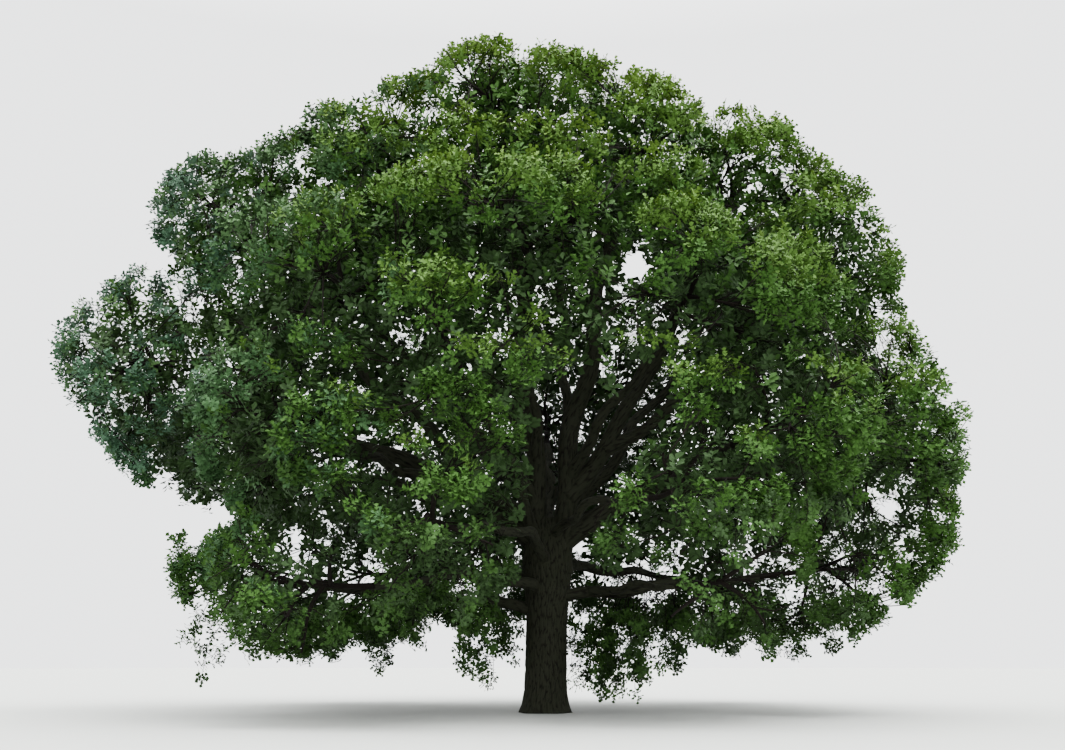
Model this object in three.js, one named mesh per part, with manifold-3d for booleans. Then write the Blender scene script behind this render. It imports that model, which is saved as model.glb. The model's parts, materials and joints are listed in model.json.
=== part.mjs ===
// An open-grown oak in full leaf, built as one three.js group of named solids.
// Millimetres, +Z up. The trunk's flat cut at ground level is centred on the origin, and -Y faces the viewer.
// Each limb is one tapering solid, and each mass of foliage is one solid of twigs and blades on a stem.

import * as THREE from "three";
import { mergeVertices } from "three/addons/utils/BufferGeometryUtils.js";
import Module from "manifold-3d";

// Driving dimensions
const METRE = 1000;
const CLEAR = 0.3; // space between a limb and the limb or stem that it meets
const SLACK = 0.01; // corners that stand out less than this are dropped
const WELD = 0.001; // corners nearer to each other than this are one corner
const SCRAP_SHARE = 0.02; // a cut-off piece bigger than this share of its limb is no scrap
const CELL_CLEAR = 60; // space on each side of the plane between two masses of foliage
const LOWEST_LEAF = 0.45 * METRE; // nothing hangs nearer to the ground than this

const TRUNK = {
  height: 6.5 * METRE,
  shaft: 0.69 * METRE, // radius at breast height
  flare: 0.19 * METRE, // added to the radius at the ground
  flareHeight: 0.4 * METRE,
  swell: 0.15 * METRE, // added to the radius under the fork
  swellFrom: 2.9 * METRE,
  crotch: 5.1 * METRE, // where the trunk starts to close into its fork
  lean: 0.02, // sideways, in metres for each metre of height
  rootLobes: 5,
  lobeDepth: 0.08,
  lobeTurn: 0.6,
  closed: 0.8, // how far the top closes, where one would be to a point
  sides: 14,
  ringHeights: [0, 0.16, 0.4, 0.85, 1.6, 3, 4.4, 5.2, 5.8, 6.25, 6.5].map((height) => height * METRE),
};
// A limb's bend as shares of its length, and how many turns its crooks make.
const LIMB_SHAPE = { handle: 0.38, crook: 0.019, crookSpread: 0.37, turns: 2, turnSpread: 0.25, taper: 0.85 };
const COLLAR = { extra: 0.45, length: 0.55 * METRE }; // the swelling where a limb leaves its parent
const LIMB_SECTIONS = {
  long: 8 * METRE,
  longSteps: 6,
  shortSteps: 4,
  thick: 0.24 * METRE,
  thickSides: 8,
  thinSides: 6,
};

// How far out a bough ends, as a share of its mass's half size, and how it is drawn in to stay in the cell.
const ENTRY = { reach: 0.74, shrink: 0.9, clear: 3 * CELL_CLEAR };
// Where each limb's and each mass's random numbers start.
const SEEDS = { limb: 101, limbStep: 37, mass: 9001, massStep: 613 };

// Each stem runs on from its bough's end to the middle of its mass.
// Root and tip are shares of the bough's girth.
const STEM = { sides: 5, bend: 0.4, root: 0.94, tip: 0.8 };

// The dense middle of a mass, as shares of its half size, that the shoots stand out of.
const CORE = { share: 0.4, smallest: 0.2, shrink: 0.88, rough: 0.16 };

// Three-sided shoots, one for each step of a mass's size, from the stem towards the outside of the mass.
const SHOOTS = {
  step: 0.64 * METRE,
  sides: 3,
  root: 70, // radius where it leaves the stem
  tip: 52, // radius at its end
  rootFrom: 0.97, // the share of the stem's length where the outermost shoot leaves
  rootTo: 0.6, // and the innermost one
  reach: 0.66, // how far out it ends, as a share of the half size
  shortest: 0.2,
  shrink: 0.88,
  innermost: -0.45, // the cosine of the widest angle between a shoot and the way out of the crown
};

// Each blade stands for a spray of leaves. Shares are of its length.
const BLADE = {
  whorl: 3, // blades round each shoot's end
  length: 1.28 * METRE, // on a mass of one metre, and growing with the root of its size
  spread: 0.12, // how far the lengths differ
  width: 0.66,
  widest: 0.58,
  ridge: 0.3,
  thickness: 0.034,
  droop: 0.08,
  fan: 62, // degrees between a blade and its shoot
  fanSpread: 0.2,
  outermost: 0.95, // where the first blade leaves its shoot, as a share of the shoot's length
  apart: 0.1,
  sunk: 0.25, // how far past the shoot's middle a root is sunk, as a share of the shoot's radius
};
// The sizes and the turns, as shares of their first values, that a blade is tried at before it is left out.
const BLADE_TRIES = [1, 0.88, 0.76, 0.64].flatMap((size) => [1, 0.7, 1.3].map((turn) => ({ size, turn })));

// One row for each mass of foliage and the bough that carries it, in metres and degrees.
// centre and half are the middle and half sizes of the space that the mass fills.
// from and at say which limb the bough leaves, and how far along that limb's length.
// rise and arrive are the bough's slope where it starts and where it ends, and swing turns its start
// sideways. girth is the bough's radius at its root and at its tip.
const MASSES = [
  {
    name: "top", centre: [-1.4, -3.8, 19.4], half: [3.6, 4.3, 2.6],
    limb: "left_stem", from: "trunk", at: 0.74, offset: -0.34, rise: 82, arrive: 68, girth: [0.38, 0.14],
  },
  {
    name: "top_right", centre: [3.0, -3.4, 18.9], half: [3.1, 4.2, 2.5],
    limb: "middle_stem", from: "trunk", at: 0.72, offset: 0.3, rise: 78, arrive: 66, girth: [0.42, 0.14],
  },
  {
    name: "right_top", centre: [6.6, -2.8, 17.4], half: [2.8, 4.3, 2.6],
    limb: "right_stem", from: "middle_stem", at: 0.2, rise: 44, arrive: 60, girth: [0.3, 0.13],
  },
  {
    name: "top_left", centre: [-5.9, -3.0, 18.4], half: [3.2, 4.3, 2.6],
    from: "left_stem", at: 0.3, rise: 50, arrive: 56, girth: [0.24, 0.12],
  },
  {
    name: "left_upper", centre: [-10.8, -2.4, 16.2], half: [3.0, 4.5, 3.0],
    from: "left_stem", at: 0.1, rise: 36, arrive: 44, girth: [0.27, 0.13],
  },
  {
    name: "far_left", centre: [-13.5, -2.4, 11.5], half: [3.0, 4.7, 3.4],
    from: "trunk", at: 0.84, rise: 32, arrive: 14, girth: [0.34, 0.14],
  },
  {
    name: "left_low", centre: [-9.6, -2.0, 4.3], half: [2.6, 4.6, 2.6],
    from: "trunk", at: 0.5, rise: 12, arrive: 4, girth: [0.19, 0.11],
  },
  {
    name: "right_upper", centre: [9.5, -2.4, 15.0], half: [2.9, 4.5, 3.1],
    from: "right_stem", at: 0.2, rise: 24, arrive: 46, girth: [0.21, 0.12],
  },
  {
    name: "far_right", centre: [11.3, -2.4, 8.9], half: [3.0, 4.7, 3.4],
    from: "trunk", at: 0.82, rise: 38, arrive: 8, girth: [0.36, 0.14],
  },
  {
    name: "right_low", centre: [9.3, -1.8, 4.6], half: [3.0, 4.6, 2.6],
    from: "trunk", at: 0.57, rise: 10, arrive: 8, girth: [0.2, 0.11],
  },
  {
    name: "front_upper_left", centre: [-6.3, -8.0, 12.6], half: [3.0, 3.3, 2.5],
    from: "left_stem", at: 0.16, rise: 44, arrive: 30, girth: [0.22, 0.12],
  },
  {
    name: "front_mid_left", centre: [-2.4, -9.7, 9.5], half: [2.8, 3.1, 2.4],
    from: "left_stem", at: 0.06, rise: 42, arrive: 8, girth: [0.2, 0.11],
  },
  {
    name: "front_left", centre: [-7.7, -8.5, 8.0], half: [3.1, 3.3, 2.4],
    from: "far_left_bough", at: 0.3, swing: -30, rise: 12, arrive: 2, girth: [0.18, 0.11],
  },
  {
    name: "front_low_left", centre: [-6.6, -8.1, 3.7], half: [3.1, 3.5, 2.9],
    from: "trunk", at: 0.62, rise: 12, arrive: -6, girth: [0.19, 0.11],
  },
  {
    name: "front_centre_left", centre: [-3.2, -9.9, 5.4], half: [2.7, 3.1, 2.6],
    from: "trunk", at: 0.74, swing: 14, rise: 24, arrive: -8, girth: [0.18, 0.1],
  },
  {
    name: "front_top", centre: [-0.6, -8.4, 13.7], half: [3.0, 3.2, 2.4],
    from: "left_stem", at: 0.26, rise: 46, arrive: 30, girth: [0.18, 0.11],
  },
  {
    name: "front_upper_right", centre: [4.2, -8.3, 12.1], half: [3.1, 3.3, 2.4],
    from: "middle_stem", at: 0.24, rise: 38, arrive: 30, girth: [0.2, 0.12],
  },
  {
    name: "front_right", centre: [6.7, -8.3, 8.3], half: [3.0, 3.3, 2.5],
    from: "far_right_bough", at: 0.26, swing: 26, rise: 20, arrive: 4, girth: [0.2, 0.12],
  },
  {
    name: "front_mid_right", centre: [3.7, -9.6, 6.3], half: [2.5, 3.1, 2.1],
    from: "trunk", at: 0.86, rise: 24, arrive: -6, girth: [0.16, 0.1],
  },
  {
    name: "front_low_right", centre: [4.9, -7.5, 3.8], half: [2.9, 3.4, 2.3],
    from: "right_low_bough", at: 0.2, swing: 20, rise: 4, arrive: -2, girth: [0.13, 0.1],
  },
  {
    name: "back_top", centre: [0.6, 3.9, 18.8], half: [5.0, 4.6, 3.7],
    from: "middle_stem", at: 0.34, rise: 56, arrive: 60, girth: [0.2, 0.12],
  },
  {
    name: "back_upper_left", centre: [-7.2, 4.8, 15.6], half: [4.8, 4.8, 3.9],
    from: "left_stem", at: 0.14, rise: 46, arrive: 44, girth: [0.23, 0.12],
  },
  {
    name: "back_upper_right", centre: [7.4, 4.8, 15.4], half: [4.8, 4.8, 3.9],
    from: "middle_stem", at: 0.14, rise: 44, arrive: 44, girth: [0.23, 0.12],
  },
  {
    name: "back_left", centre: [-11.2, 4.9, 9.7], half: [4.0, 4.9, 4.0],
    from: "trunk", at: 0.87, rise: 34, arrive: 16, girth: [0.27, 0.13],
  },
  {
    name: "back_right", centre: [10.7, 4.9, 9.6], half: [4.0, 4.9, 4.0],
    from: "trunk", at: 0.87, rise: 34, arrive: 16, girth: [0.27, 0.13],
  },
  {
    name: "back_mid", centre: [0.2, 9.3, 12.2], half: [6.2, 4.7, 4.8],
    from: "trunk", at: 0.9, rise: 48, arrive: 26, girth: [0.27, 0.13],
  },
  {
    name: "back_low_left", centre: [-7.4, 8.2, 5.2], half: [4.8, 4.9, 4.2],
    from: "trunk", at: 0.66, rise: 16, arrive: 2, girth: [0.2, 0.11],
  },
  {
    name: "back_low_right", centre: [7.1, 8.4, 5.0], half: [4.8, 4.9, 4.1],
    from: "trunk", at: 0.7, rise: 16, arrive: 0, girth: [0.2, 0.11],
  },
  {
    name: "back_low", centre: [0.1, 9.8, 4.2], half: [3.8, 4.3, 3.7],
    from: "trunk", at: 0.6, rise: 14, arrive: -4, girth: [0.17, 0.1],
  },
];

const BARK = new THREE.MeshStandardMaterial({ color: 0x4a4038, roughness: 0.95, metalness: 0 });
const FOLIAGE = [0x3f6b24, 0x34591f, 0x4a7a2a].map(
  (color) => new THREE.MeshStandardMaterial({ color, roughness: 0.7, metalness: 0 }),
);

// Small helpers
const GOLDEN_ANGLE = Math.PI * (3 - Math.sqrt(5));
const UP = new THREE.Vector3(0, 0, 1);
const radians = THREE.MathUtils.degToRad;
const metres = ([x, y, z]) => new THREE.Vector3(x, y, z).multiplyScalar(METRE);
const HEART = metres([0, 0, 8.5]); // the middle of the crown, which every mass faces away from

// The same numbers every time: a linear congruential generator with 32 bits.
function seeded(seed) {
  const range = 2 ** 32;
  let state = seed % range;
  return () => {
    state = (state * 1664525 + 1013904223) % range;
    return state / range;
  };
}

// A number near one, no further from it than spread.
function around(spread, random) {
  return 1 + spread * (2 * random() - 1);
}

// A unit vector from a compass turn and a slope, both in radians.
function heading(turn, slope) {
  const flat = Math.cos(slope);
  return new THREE.Vector3(flat * Math.cos(turn), flat * Math.sin(turn), Math.sin(slope));
}

// Solids
const wasm = await Module();
wasm.setup();

function solidOf(geometry) {
  const bare = new THREE.BufferGeometry();
  bare.setAttribute("position", geometry.getAttribute("position"));
  bare.setIndex(geometry.index);
  const merged = mergeVertices(bare, WELD);
  return new wasm.Manifold(
    new wasm.Mesh({
      numProp: 3,
      vertProperties: merged.attributes.position.array,
      triVerts: new Uint32Array(merged.index.array),
    }),
  );
}

function touches(solid, others) {
  return others.some((other) => !solid.intersect(other).isEmpty());
}

function geometryOf(solid) {
  const mesh = solid.getMesh();
  const positions = new Float32Array(mesh.numVert * 3);
  for (let i = 0; i < mesh.numVert; i++)
    positions.set(mesh.vertProperties.subarray(i * mesh.numProp, i * mesh.numProp + 3), i * 3);
  return new THREE.BufferGeometry()
    .setAttribute("position", new THREE.BufferAttribute(positions, 3))
    .setIndex(new THREE.BufferAttribute(mesh.triVerts, 1));
}

// A closed cylinder bent along a curve, with its radius given by share of the length and by angle.
function taperedTube(curve, radiusAt, sides, steps) {
  const geometry = new THREE.CylinderGeometry(1, 1, 1, sides, steps);
  const frames = curve.computeFrenetFrames(steps);
  const position = geometry.getAttribute("position");
  for (let i = 0; i < position.count; i++) {
    const share = position.getY(i) + 0.5;
    const ring = Math.round(share * steps);
    const spread = Math.hypot(position.getX(i), position.getZ(i));
    const angle = Math.atan2(position.getX(i), position.getZ(i));
    const radius = spread * radiusAt(share, angle);
    const point = curve
      .getPointAt(share)
      .addScaledVector(frames.normals[ring], radius * Math.cos(angle))
      .addScaledVector(frames.binormals[ring], radius * Math.sin(angle));
    position.setXYZ(i, point.x, point.y, point.z);
  }
  return solidOf(geometry);
}

// The trunk: a flat cut at the ground, root flare, and a swelling that closes into the fork.
function trunkRadius(height, angle) {
  const { shaft, flare, flareHeight, swell, swellFrom, crotch, rootLobes, lobeDepth } = TRUNK;
  const foot = Math.exp(-height / flareHeight);
  const shoulder = THREE.MathUtils.smoothstep(height, swellFrom, crotch);
  const lobes = 1 + lobeDepth * foot * Math.cos(rootLobes * angle + TRUNK.lobeTurn);
  const closing = Math.max(0, (height - crotch) / (TRUNK.height - crotch));
  const dome = Math.sqrt(1 - TRUNK.closed * closing * closing);
  return (shaft + flare * foot + swell * shoulder) * lobes * dome;
}

function trunkPoint(height) {
  return new THREE.Vector3(TRUNK.lean * height, 0, height);
}

function makeTrunk(grown = 0) {
  const steps = TRUNK.ringHeights.length - 1;
  const geometry = new THREE.CylinderGeometry(1, 1, 1, TRUNK.sides, steps);
  const position = geometry.getAttribute("position");
  for (let i = 0; i < position.count; i++) {
    const share = position.getY(i) + 0.5;
    const height = TRUNK.ringHeights[Math.round(share * steps)];
    const spread = Math.hypot(position.getX(i), position.getZ(i));
    const angle = Math.atan2(position.getX(i), position.getZ(i));
    const radius = spread * (trunkRadius(height, angle) + grown);
    const axis = trunkPoint(height + (share === 1 ? grown : 0));
    position.setXYZ(i, axis.x + radius * Math.cos(angle), axis.y + radius * Math.sin(angle), axis.z);
  }
  return solidOf(geometry);
}

// A limb's centreline: one smooth sweep, with the crooks that an oak limb has.
class LimbCurve extends THREE.Curve {
  constructor(start, leave, end, arrive, seed) {
    super();
    const reach = start.distanceTo(end) * LIMB_SHAPE.handle;
    this.sweep = new THREE.CubicBezierCurve3(
      start,
      start.clone().addScaledVector(leave, reach),
      end.clone().addScaledVector(arrive, -reach),
      end,
    );
    const random = seeded(seed);
    this.crook = start.distanceTo(end) * LIMB_SHAPE.crook * around(LIMB_SHAPE.crookSpread, random);
    this.turns = LIMB_SHAPE.turns * around(LIMB_SHAPE.turnSpread, random);
    this.phase = 2 * Math.PI * random();
    this.side = new THREE.Vector3().crossVectors(leave, UP).normalize();
    this.over = new THREE.Vector3().crossVectors(this.side, leave).normalize();
  }

  getPoint(t, target = new THREE.Vector3()) {
    const wave = this.crook * Math.sin(Math.PI * t);
    const angle = this.phase + 2 * Math.PI * this.turns * t;
    return target
      .copy(this.sweep.getPoint(t))
      .addScaledVector(this.side, wave * Math.cos(angle))
      .addScaledVector(this.over, wave * Math.sin(angle));
  }
}

// Where a bough ends and its mass's stem starts: on the inner side of the mass's space, inside its cell.
function entryPoint(mass, masses, start) {
  const inward = start.clone().sub(mass.centre);
  let reach = ENTRY.reach / inward.clone().divide(mass.half).length();
  const place = () => mass.centre.clone().addScaledVector(inward, reach);
  while (insideCell(place(), mass, masses) < ENTRY.clear) reach *= ENTRY.shrink;
  return place();
}

function planLimb(row, mass, masses, limbs, index) {
  const start = limbs.get(row.from).pointAt(row.at);
  start.x += (row.offset || 0) * METRE;
  const end = entryPoint(mass, masses, start);
  const turn = Math.atan2(end.y - start.y, end.x - start.x);
  const leave = heading(turn + radians(row.swing || 0), radians(row.rise));
  const arrive = heading(turn, radians(row.arrive));
  const curve = new LimbCurve(start, leave, end, arrive, SEEDS.limb + SEEDS.limbStep * index);
  const length = curve.getLength();
  const [base, tip] = row.girth.map((r) => r * METRE);
  const radiusAt = (share) => {
    const collar = base * COLLAR.extra * Math.exp((-share * length) / COLLAR.length);
    return tip + (base - tip) * Math.pow(1 - share, LIMB_SHAPE.taper) + collar;
  };
  return {
    name: row.limb || row.name + "_bough",
    curve,
    length,
    base,
    tip,
    radiusAt,
    pointAt: (share) => curve.getPointAt(share),
    end,
    arrive: curve.getTangentAt(1),
  };
}

function makeLimb(limb, grown = 0) {
  const { long, longSteps, shortSteps, thick, thickSides, thinSides } = LIMB_SECTIONS;
  const steps = limb.length > long ? longSteps : shortSteps;
  const sides = limb.base > thick ? thickSides : thinSides;
  return taperedTube(limb.curve, (share) => limb.radiusAt(share) + grown, sides, steps);
}

// The biggest body of a cut solid: the rest are scraps that a cut left beside a limb's root.
function largestBody(solid, name) {
  const bodies = solid.simplify(SLACK).decompose().sort((a, b) => b.volume() - a.volume());
  if (bodies.length > 1 && bodies[1].volume() > SCRAP_SHARE * bodies[0].volume())
    console.warn(name + " was cut in two by a neighbour");
  return bodies[0];
}

// Each mass keeps to its own space: how far a point is inside the nearest plane between its mass and another.
function insideCell(point, mass, masses) {
  const power = (m) => point.distanceToSquared(m.centre) - m.size * m.size;
  const own = power(mass);
  let least = Infinity;
  for (const other of masses) {
    if (other === mass) continue;
    least = Math.min(least, (power(other) - own) / (2 * mass.centre.distanceTo(other.centre)));
  }
  return least;
}

// A point is in the mass's space when it is inside its ellipsoid, its own cell and clear of the ground.
function inSpace(point, mass, masses) {
  const offset = point.clone().sub(mass.centre).divide(mass.half);
  return offset.lengthSq() < 1 && point.z > LOWEST_LEAF && insideCell(point, mass, masses) > CELL_CLEAR;
}

// A blade: an octahedron drawn out into a thin pointed leaf with eight faces.
function bladeCorners(root, along, face, length) {
  const across = new THREE.Vector3().crossVectors(along, face).normalize();
  const normal = new THREE.Vector3().crossVectors(across, along);
  const corner = (far, side, lift) =>
    root
      .clone()
      .addScaledVector(along, far * length)
      .addScaledVector(across, side * length * BLADE.width)
      .addScaledVector(normal, lift * length);
  return [
    corner(BLADE.widest, 0.5, -BLADE.droop),
    corner(BLADE.widest, -0.5, -BLADE.droop),
    corner(1, 0, -BLADE.droop),
    root.clone(),
    corner(BLADE.ridge, 0, BLADE.thickness / 2),
    corner(BLADE.ridge, 0, -BLADE.thickness / 2),
  ];
}

function makeBlade(corners) {
  const geometry = new THREE.OctahedronGeometry(1);
  const position = geometry.getAttribute("position");
  for (let i = 0; i < position.count; i++) {
    const values = [position.getX(i), position.getY(i), position.getZ(i)];
    const axis = values.findIndex((value) => Math.abs(value) > 0.5);
    const corner = corners[axis * 2 + (values[axis] > 0 ? 0 : 1)];
    position.setXYZ(i, corner.x, corner.y, corner.z);
  }
  return solidOf(geometry);
}

// Even directions over the side of the mass that faces out of the crown.
function shootDirections(mass, random) {
  const count = Math.round(mass.size / SHOOTS.step);
  const spin = 2 * Math.PI * random();
  return Array.from({ length: count }, (_, i) => {
    const depth = THREE.MathUtils.lerp(1, SHOOTS.innermost, (i + 0.5) / count);
    const ring = Math.sqrt(1 - depth * depth);
    const angle = spin + i * GOLDEN_ANGLE;
    return mass.outward
      .clone()
      .multiplyScalar(depth)
      .addScaledVector(mass.sideways, ring * Math.cos(angle))
      .addScaledVector(mass.upward, ring * Math.sin(angle));
  });
}

function shootEnd(direction, mass, masses, random) {
  let reach = SHOOTS.reach * around(BLADE.spread, random);
  const place = () => mass.centre.clone().addScaledVector(direction.clone().multiply(mass.half), reach);
  while (reach > SHOOTS.shortest && !inSpace(place(), mass, masses)) {
    reach *= SHOOTS.shrink;
  }
  return place();
}

// The whorl of blades round a shoot's end. Each leaves one face of the three-sided twig,
// and is closed up and shrunk until it fits and touches no other blade.
function whorlOf(twigLine, mass, masses, grownWood, taken, random) {
  const frames = twigLine.computeFrenetFrames(1);
  const along = frames.tangents[0];
  for (let k = 0; k < BLADE.whorl; k++) {
    const angle = (Math.PI / SHOOTS.sides) * (2 * k + 1);
    const side = frames.normals[0]
      .clone()
      .multiplyScalar(Math.cos(angle))
      .addScaledVector(frames.binormals[0], Math.sin(angle));
    const fan = radians(BLADE.fan) * around(BLADE.fanSpread, random);
    const foot = twigLine.getPoint(BLADE.outermost - BLADE.apart * k);
    const length = BLADE.length * Math.sqrt(mass.size / METRE) * around(BLADE.spread, random);
    for (const { size, turn } of BLADE_TRIES) {
      const lean = along.clone().multiplyScalar(Math.cos(fan * turn));
      lean.addScaledVector(side, Math.sin(fan * turn));
      const root = foot.clone().addScaledVector(lean, -SHOOTS.tip * BLADE.sunk);
      const corners = bladeCorners(root, lean, along, length * size);
      if (!corners.every((corner) => inSpace(corner, mass, masses))) continue;
      const blade = makeBlade(corners);
      if (touches(blade, [grownWood, ...taken])) continue;
      taken.push(blade);
      break;
    }
  }
}

function makeCore(mass, masses, grownWood, random) {
  const ball = new THREE.IcosahedronGeometry(1, 0).deleteAttribute("normal").deleteAttribute("uv");
  const geometry = mergeVertices(ball);
  const position = geometry.getAttribute("position");
  const corners = Array.from({ length: position.count }, (_, i) =>
    new THREE.Vector3().fromBufferAttribute(position, i).multiplyScalar(around(CORE.rough, random)),
  );
  for (let share = CORE.share; share > CORE.smallest; share *= CORE.shrink) {
    const placed = corners.map((c) => c.clone().multiply(mass.half).multiplyScalar(share).add(mass.centre));
    placed.forEach((point, i) => position.setXYZ(i, point.x, point.y, point.z));
    const solid = solidOf(geometry);
    if (placed.every((point) => inSpace(point, mass, masses)) && !touches(solid, [grownWood])) return solid;
  }
  console.warn(mass.name + " has no core");
  return null;
}

function makeMass(mass, masses, grownWood) {
  const random = seeded(mass.seed);
  const { limb, centre } = mass;
  const stemRoot = limb.end.clone().addScaledVector(limb.arrive, CLEAR);
  const stemLine = new THREE.LineCurve3(stemRoot, centre);
  const bend = stemRoot.clone().addScaledVector(limb.arrive, stemLine.getLength() * STEM.bend);
  const stemCurve = new THREE.QuadraticBezierCurve3(stemRoot, bend, centre);
  const stemRadius = (share) => limb.tip * THREE.MathUtils.lerp(STEM.root, STEM.tip, share);
  // One straight piece, so that its root face lies flat on the bough's end.
  const wood = [taperedTube(stemCurve, stemRadius, STEM.sides, 1)];
  const core = makeCore(mass, masses, grownWood, random);
  if (core) wood.push(core);
  const blades = [];
  shootDirections(mass, random).forEach((direction, i, all) => {
    const share = THREE.MathUtils.lerp(SHOOTS.rootFrom, SHOOTS.rootTo, i / (all.length - 1));
    const end = shootEnd(direction, mass, masses, random);
    const twigLine = new THREE.LineCurve3(stemLine.getPoint(share), end);
    const radius = (t) => THREE.MathUtils.lerp(SHOOTS.root, SHOOTS.tip, t);
    const twig = taperedTube(twigLine, radius, SHOOTS.sides, 1);
    if (touches(twig, [grownWood])) return;
    wood.push(twig);
    whorlOf(twigLine, mass, masses, grownWood, blades, random);
  });
  return largestBody(wasm.Manifold.union([...wood, ...blades]), mass.name + "_leaves");
}

// Assembly
const tree = new THREE.Group();

function addNode(name, solid, material) {
  const mesh = new THREE.Mesh(geometryOf(solid), material);
  mesh.name = name;
  tree.add(mesh);
}

const limbs = new Map();
limbs.set("trunk", { name: "trunk", pointAt: (share) => trunkPoint(share * TRUNK.height) });
addNode("trunk", makeTrunk(), BARK);

const masses = MASSES.map((row, index) => {
  const centre = metres(row.centre);
  const half = metres(row.half);
  const outward = centre.clone().sub(HEART).normalize();
  const sideways = new THREE.Vector3().crossVectors(UP, outward).normalize();
  return {
    name: row.name,
    centre,
    half,
    size: Math.cbrt(half.x * half.y * half.z),
    outward,
    sideways,
    upward: new THREE.Vector3().crossVectors(outward, sideways),
    seed: SEEDS.mass + SEEDS.massStep * index,
  };
});

let grownWood = makeTrunk(CLEAR);
MASSES.forEach((row, index) => {
  const limb = planLimb(row, masses[index], masses, limbs, index);
  limbs.set(limb.name, limb);
  masses[index].limb = limb;
  addNode(limb.name, largestBody(makeLimb(limb).subtract(grownWood), limb.name), BARK);
  grownWood = grownWood.add(makeLimb(limb, CLEAR));
});

masses.forEach((mass, index) => {
  addNode(mass.name + "_leaves", makeMass(mass, masses, grownWood), FOLIAGE[index % FOLIAGE.length]);
});

export default tree;
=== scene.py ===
# An open-grown oak in full leaf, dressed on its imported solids.
# The trunk, stems and boughs get a mesh with the bark's furrows. Each mass of foliage is grown again by
# the rule of the solids, from stem to shoots, and on to branchlets, twigs and sprays of lobed leaves.
# Metres, +Z up. The trunk's flat cut at ground level is centred on the origin, and -Y faces the viewer.

import functools
import json
import math
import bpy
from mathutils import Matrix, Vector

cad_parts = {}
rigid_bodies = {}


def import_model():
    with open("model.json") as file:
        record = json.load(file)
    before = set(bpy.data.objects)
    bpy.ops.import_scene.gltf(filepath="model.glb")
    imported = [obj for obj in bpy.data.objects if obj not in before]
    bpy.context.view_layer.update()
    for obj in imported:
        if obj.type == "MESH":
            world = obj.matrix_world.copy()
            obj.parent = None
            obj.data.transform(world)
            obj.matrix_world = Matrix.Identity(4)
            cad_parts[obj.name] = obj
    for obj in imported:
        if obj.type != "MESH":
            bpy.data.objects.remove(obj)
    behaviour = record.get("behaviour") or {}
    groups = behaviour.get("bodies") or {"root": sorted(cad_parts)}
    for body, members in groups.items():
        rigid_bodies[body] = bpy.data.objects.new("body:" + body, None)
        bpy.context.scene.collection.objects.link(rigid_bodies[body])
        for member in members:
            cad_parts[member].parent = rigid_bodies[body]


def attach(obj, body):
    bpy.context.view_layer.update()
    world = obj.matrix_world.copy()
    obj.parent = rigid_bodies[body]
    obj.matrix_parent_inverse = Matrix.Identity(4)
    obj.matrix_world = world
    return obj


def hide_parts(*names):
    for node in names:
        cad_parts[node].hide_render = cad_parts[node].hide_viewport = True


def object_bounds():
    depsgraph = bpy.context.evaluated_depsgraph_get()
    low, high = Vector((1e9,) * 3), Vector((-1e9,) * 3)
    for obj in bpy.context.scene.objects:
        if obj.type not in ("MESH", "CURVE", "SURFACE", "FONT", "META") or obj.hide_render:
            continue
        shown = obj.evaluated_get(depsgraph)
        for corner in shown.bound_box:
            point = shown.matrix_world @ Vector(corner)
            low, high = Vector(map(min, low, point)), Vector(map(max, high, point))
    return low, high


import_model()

from types import SimpleNamespace as Values

import bpy
import numpy as np
from bpy.props import FloatProperty, FloatVectorProperty, IntProperty, PointerProperty
from bpy.types import Operator, Panel, PropertyGroup

cad_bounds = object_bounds()

bl_info = {
    "name": "Open-grown oak",
    "version": (1, 0, 0),
    "blender": (4, 5, 0),
    "location": "View3D > Sidebar > Oak",
    "description": "Grows the bark, twigs and leaves of an old oak on its solids",
    "category": "Object",
}

# Sizes that the solids were built from, in metres.
TRUNK = Values(
    height=6.5,
    shaft=0.69,  # radius at breast height
    flare=0.19,  # added to the radius at the ground
    flare_height=0.4,
    swell=0.15,  # added to the radius under the fork
    swell_from=2.9,
    crotch=5.1,  # where the trunk starts to close into its fork
    lean=0.02,
    root_lobes=5,
    lobe_depth=0.08,
    lobe_turn=0.6,
    closed=0.8,
)
LIMB_SHAPE = Values(handle=0.38, crook=0.019, crook_spread=0.37, turns=2, turn_spread=0.25, taper=0.85)
COLLAR = Values(extra=0.45, length=0.55)
CELL_CLEAR = 0.06
LOWEST_LEAF = 0.45
ENTRY = Values(reach=0.74, shrink=0.9, clear=3 * CELL_CLEAR)
STEM = Values(overlap=0.1, bend=0.4, root=0.94, tip=0.5)
SHOOTS = Values(step=0.64, root_from=0.97, root_to=0.6, reach=0.66, spread=0.12, shortest=0.2, shrink=0.88,
                innermost=-0.45)
CORE_DRAWS = 12  # numbers that the solids' rule draws for a mass's core before its shoots
SEEDS = Values(limb=101, limb_step=37, mass=9001, mass_step=613, crown=4242)
HEART = np.array((0, 0, 8.5))  # the middle of the crown, which every mass faces away from
UP = np.array((0.0, 0.0, 1.0))
GOLDEN_ANGLE = math.pi * (3 - math.sqrt(5))
# Ways that nothing here runs along, which give a sideways when crossed with one that does.
ASKEW = Values(clump=(0.31, 0.17, 0.9), spray=(0.43, 0.29, 0.85), bark=(0.3, 1.0, 0.1))
STEEP = 0.8  # the rise of a tube that counts as upright

# The finer growth, which only this dress has.
SURFACE = Values(blend=0.9, inset=0.22, past_box=0.4, slope_step=0.1)
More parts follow.
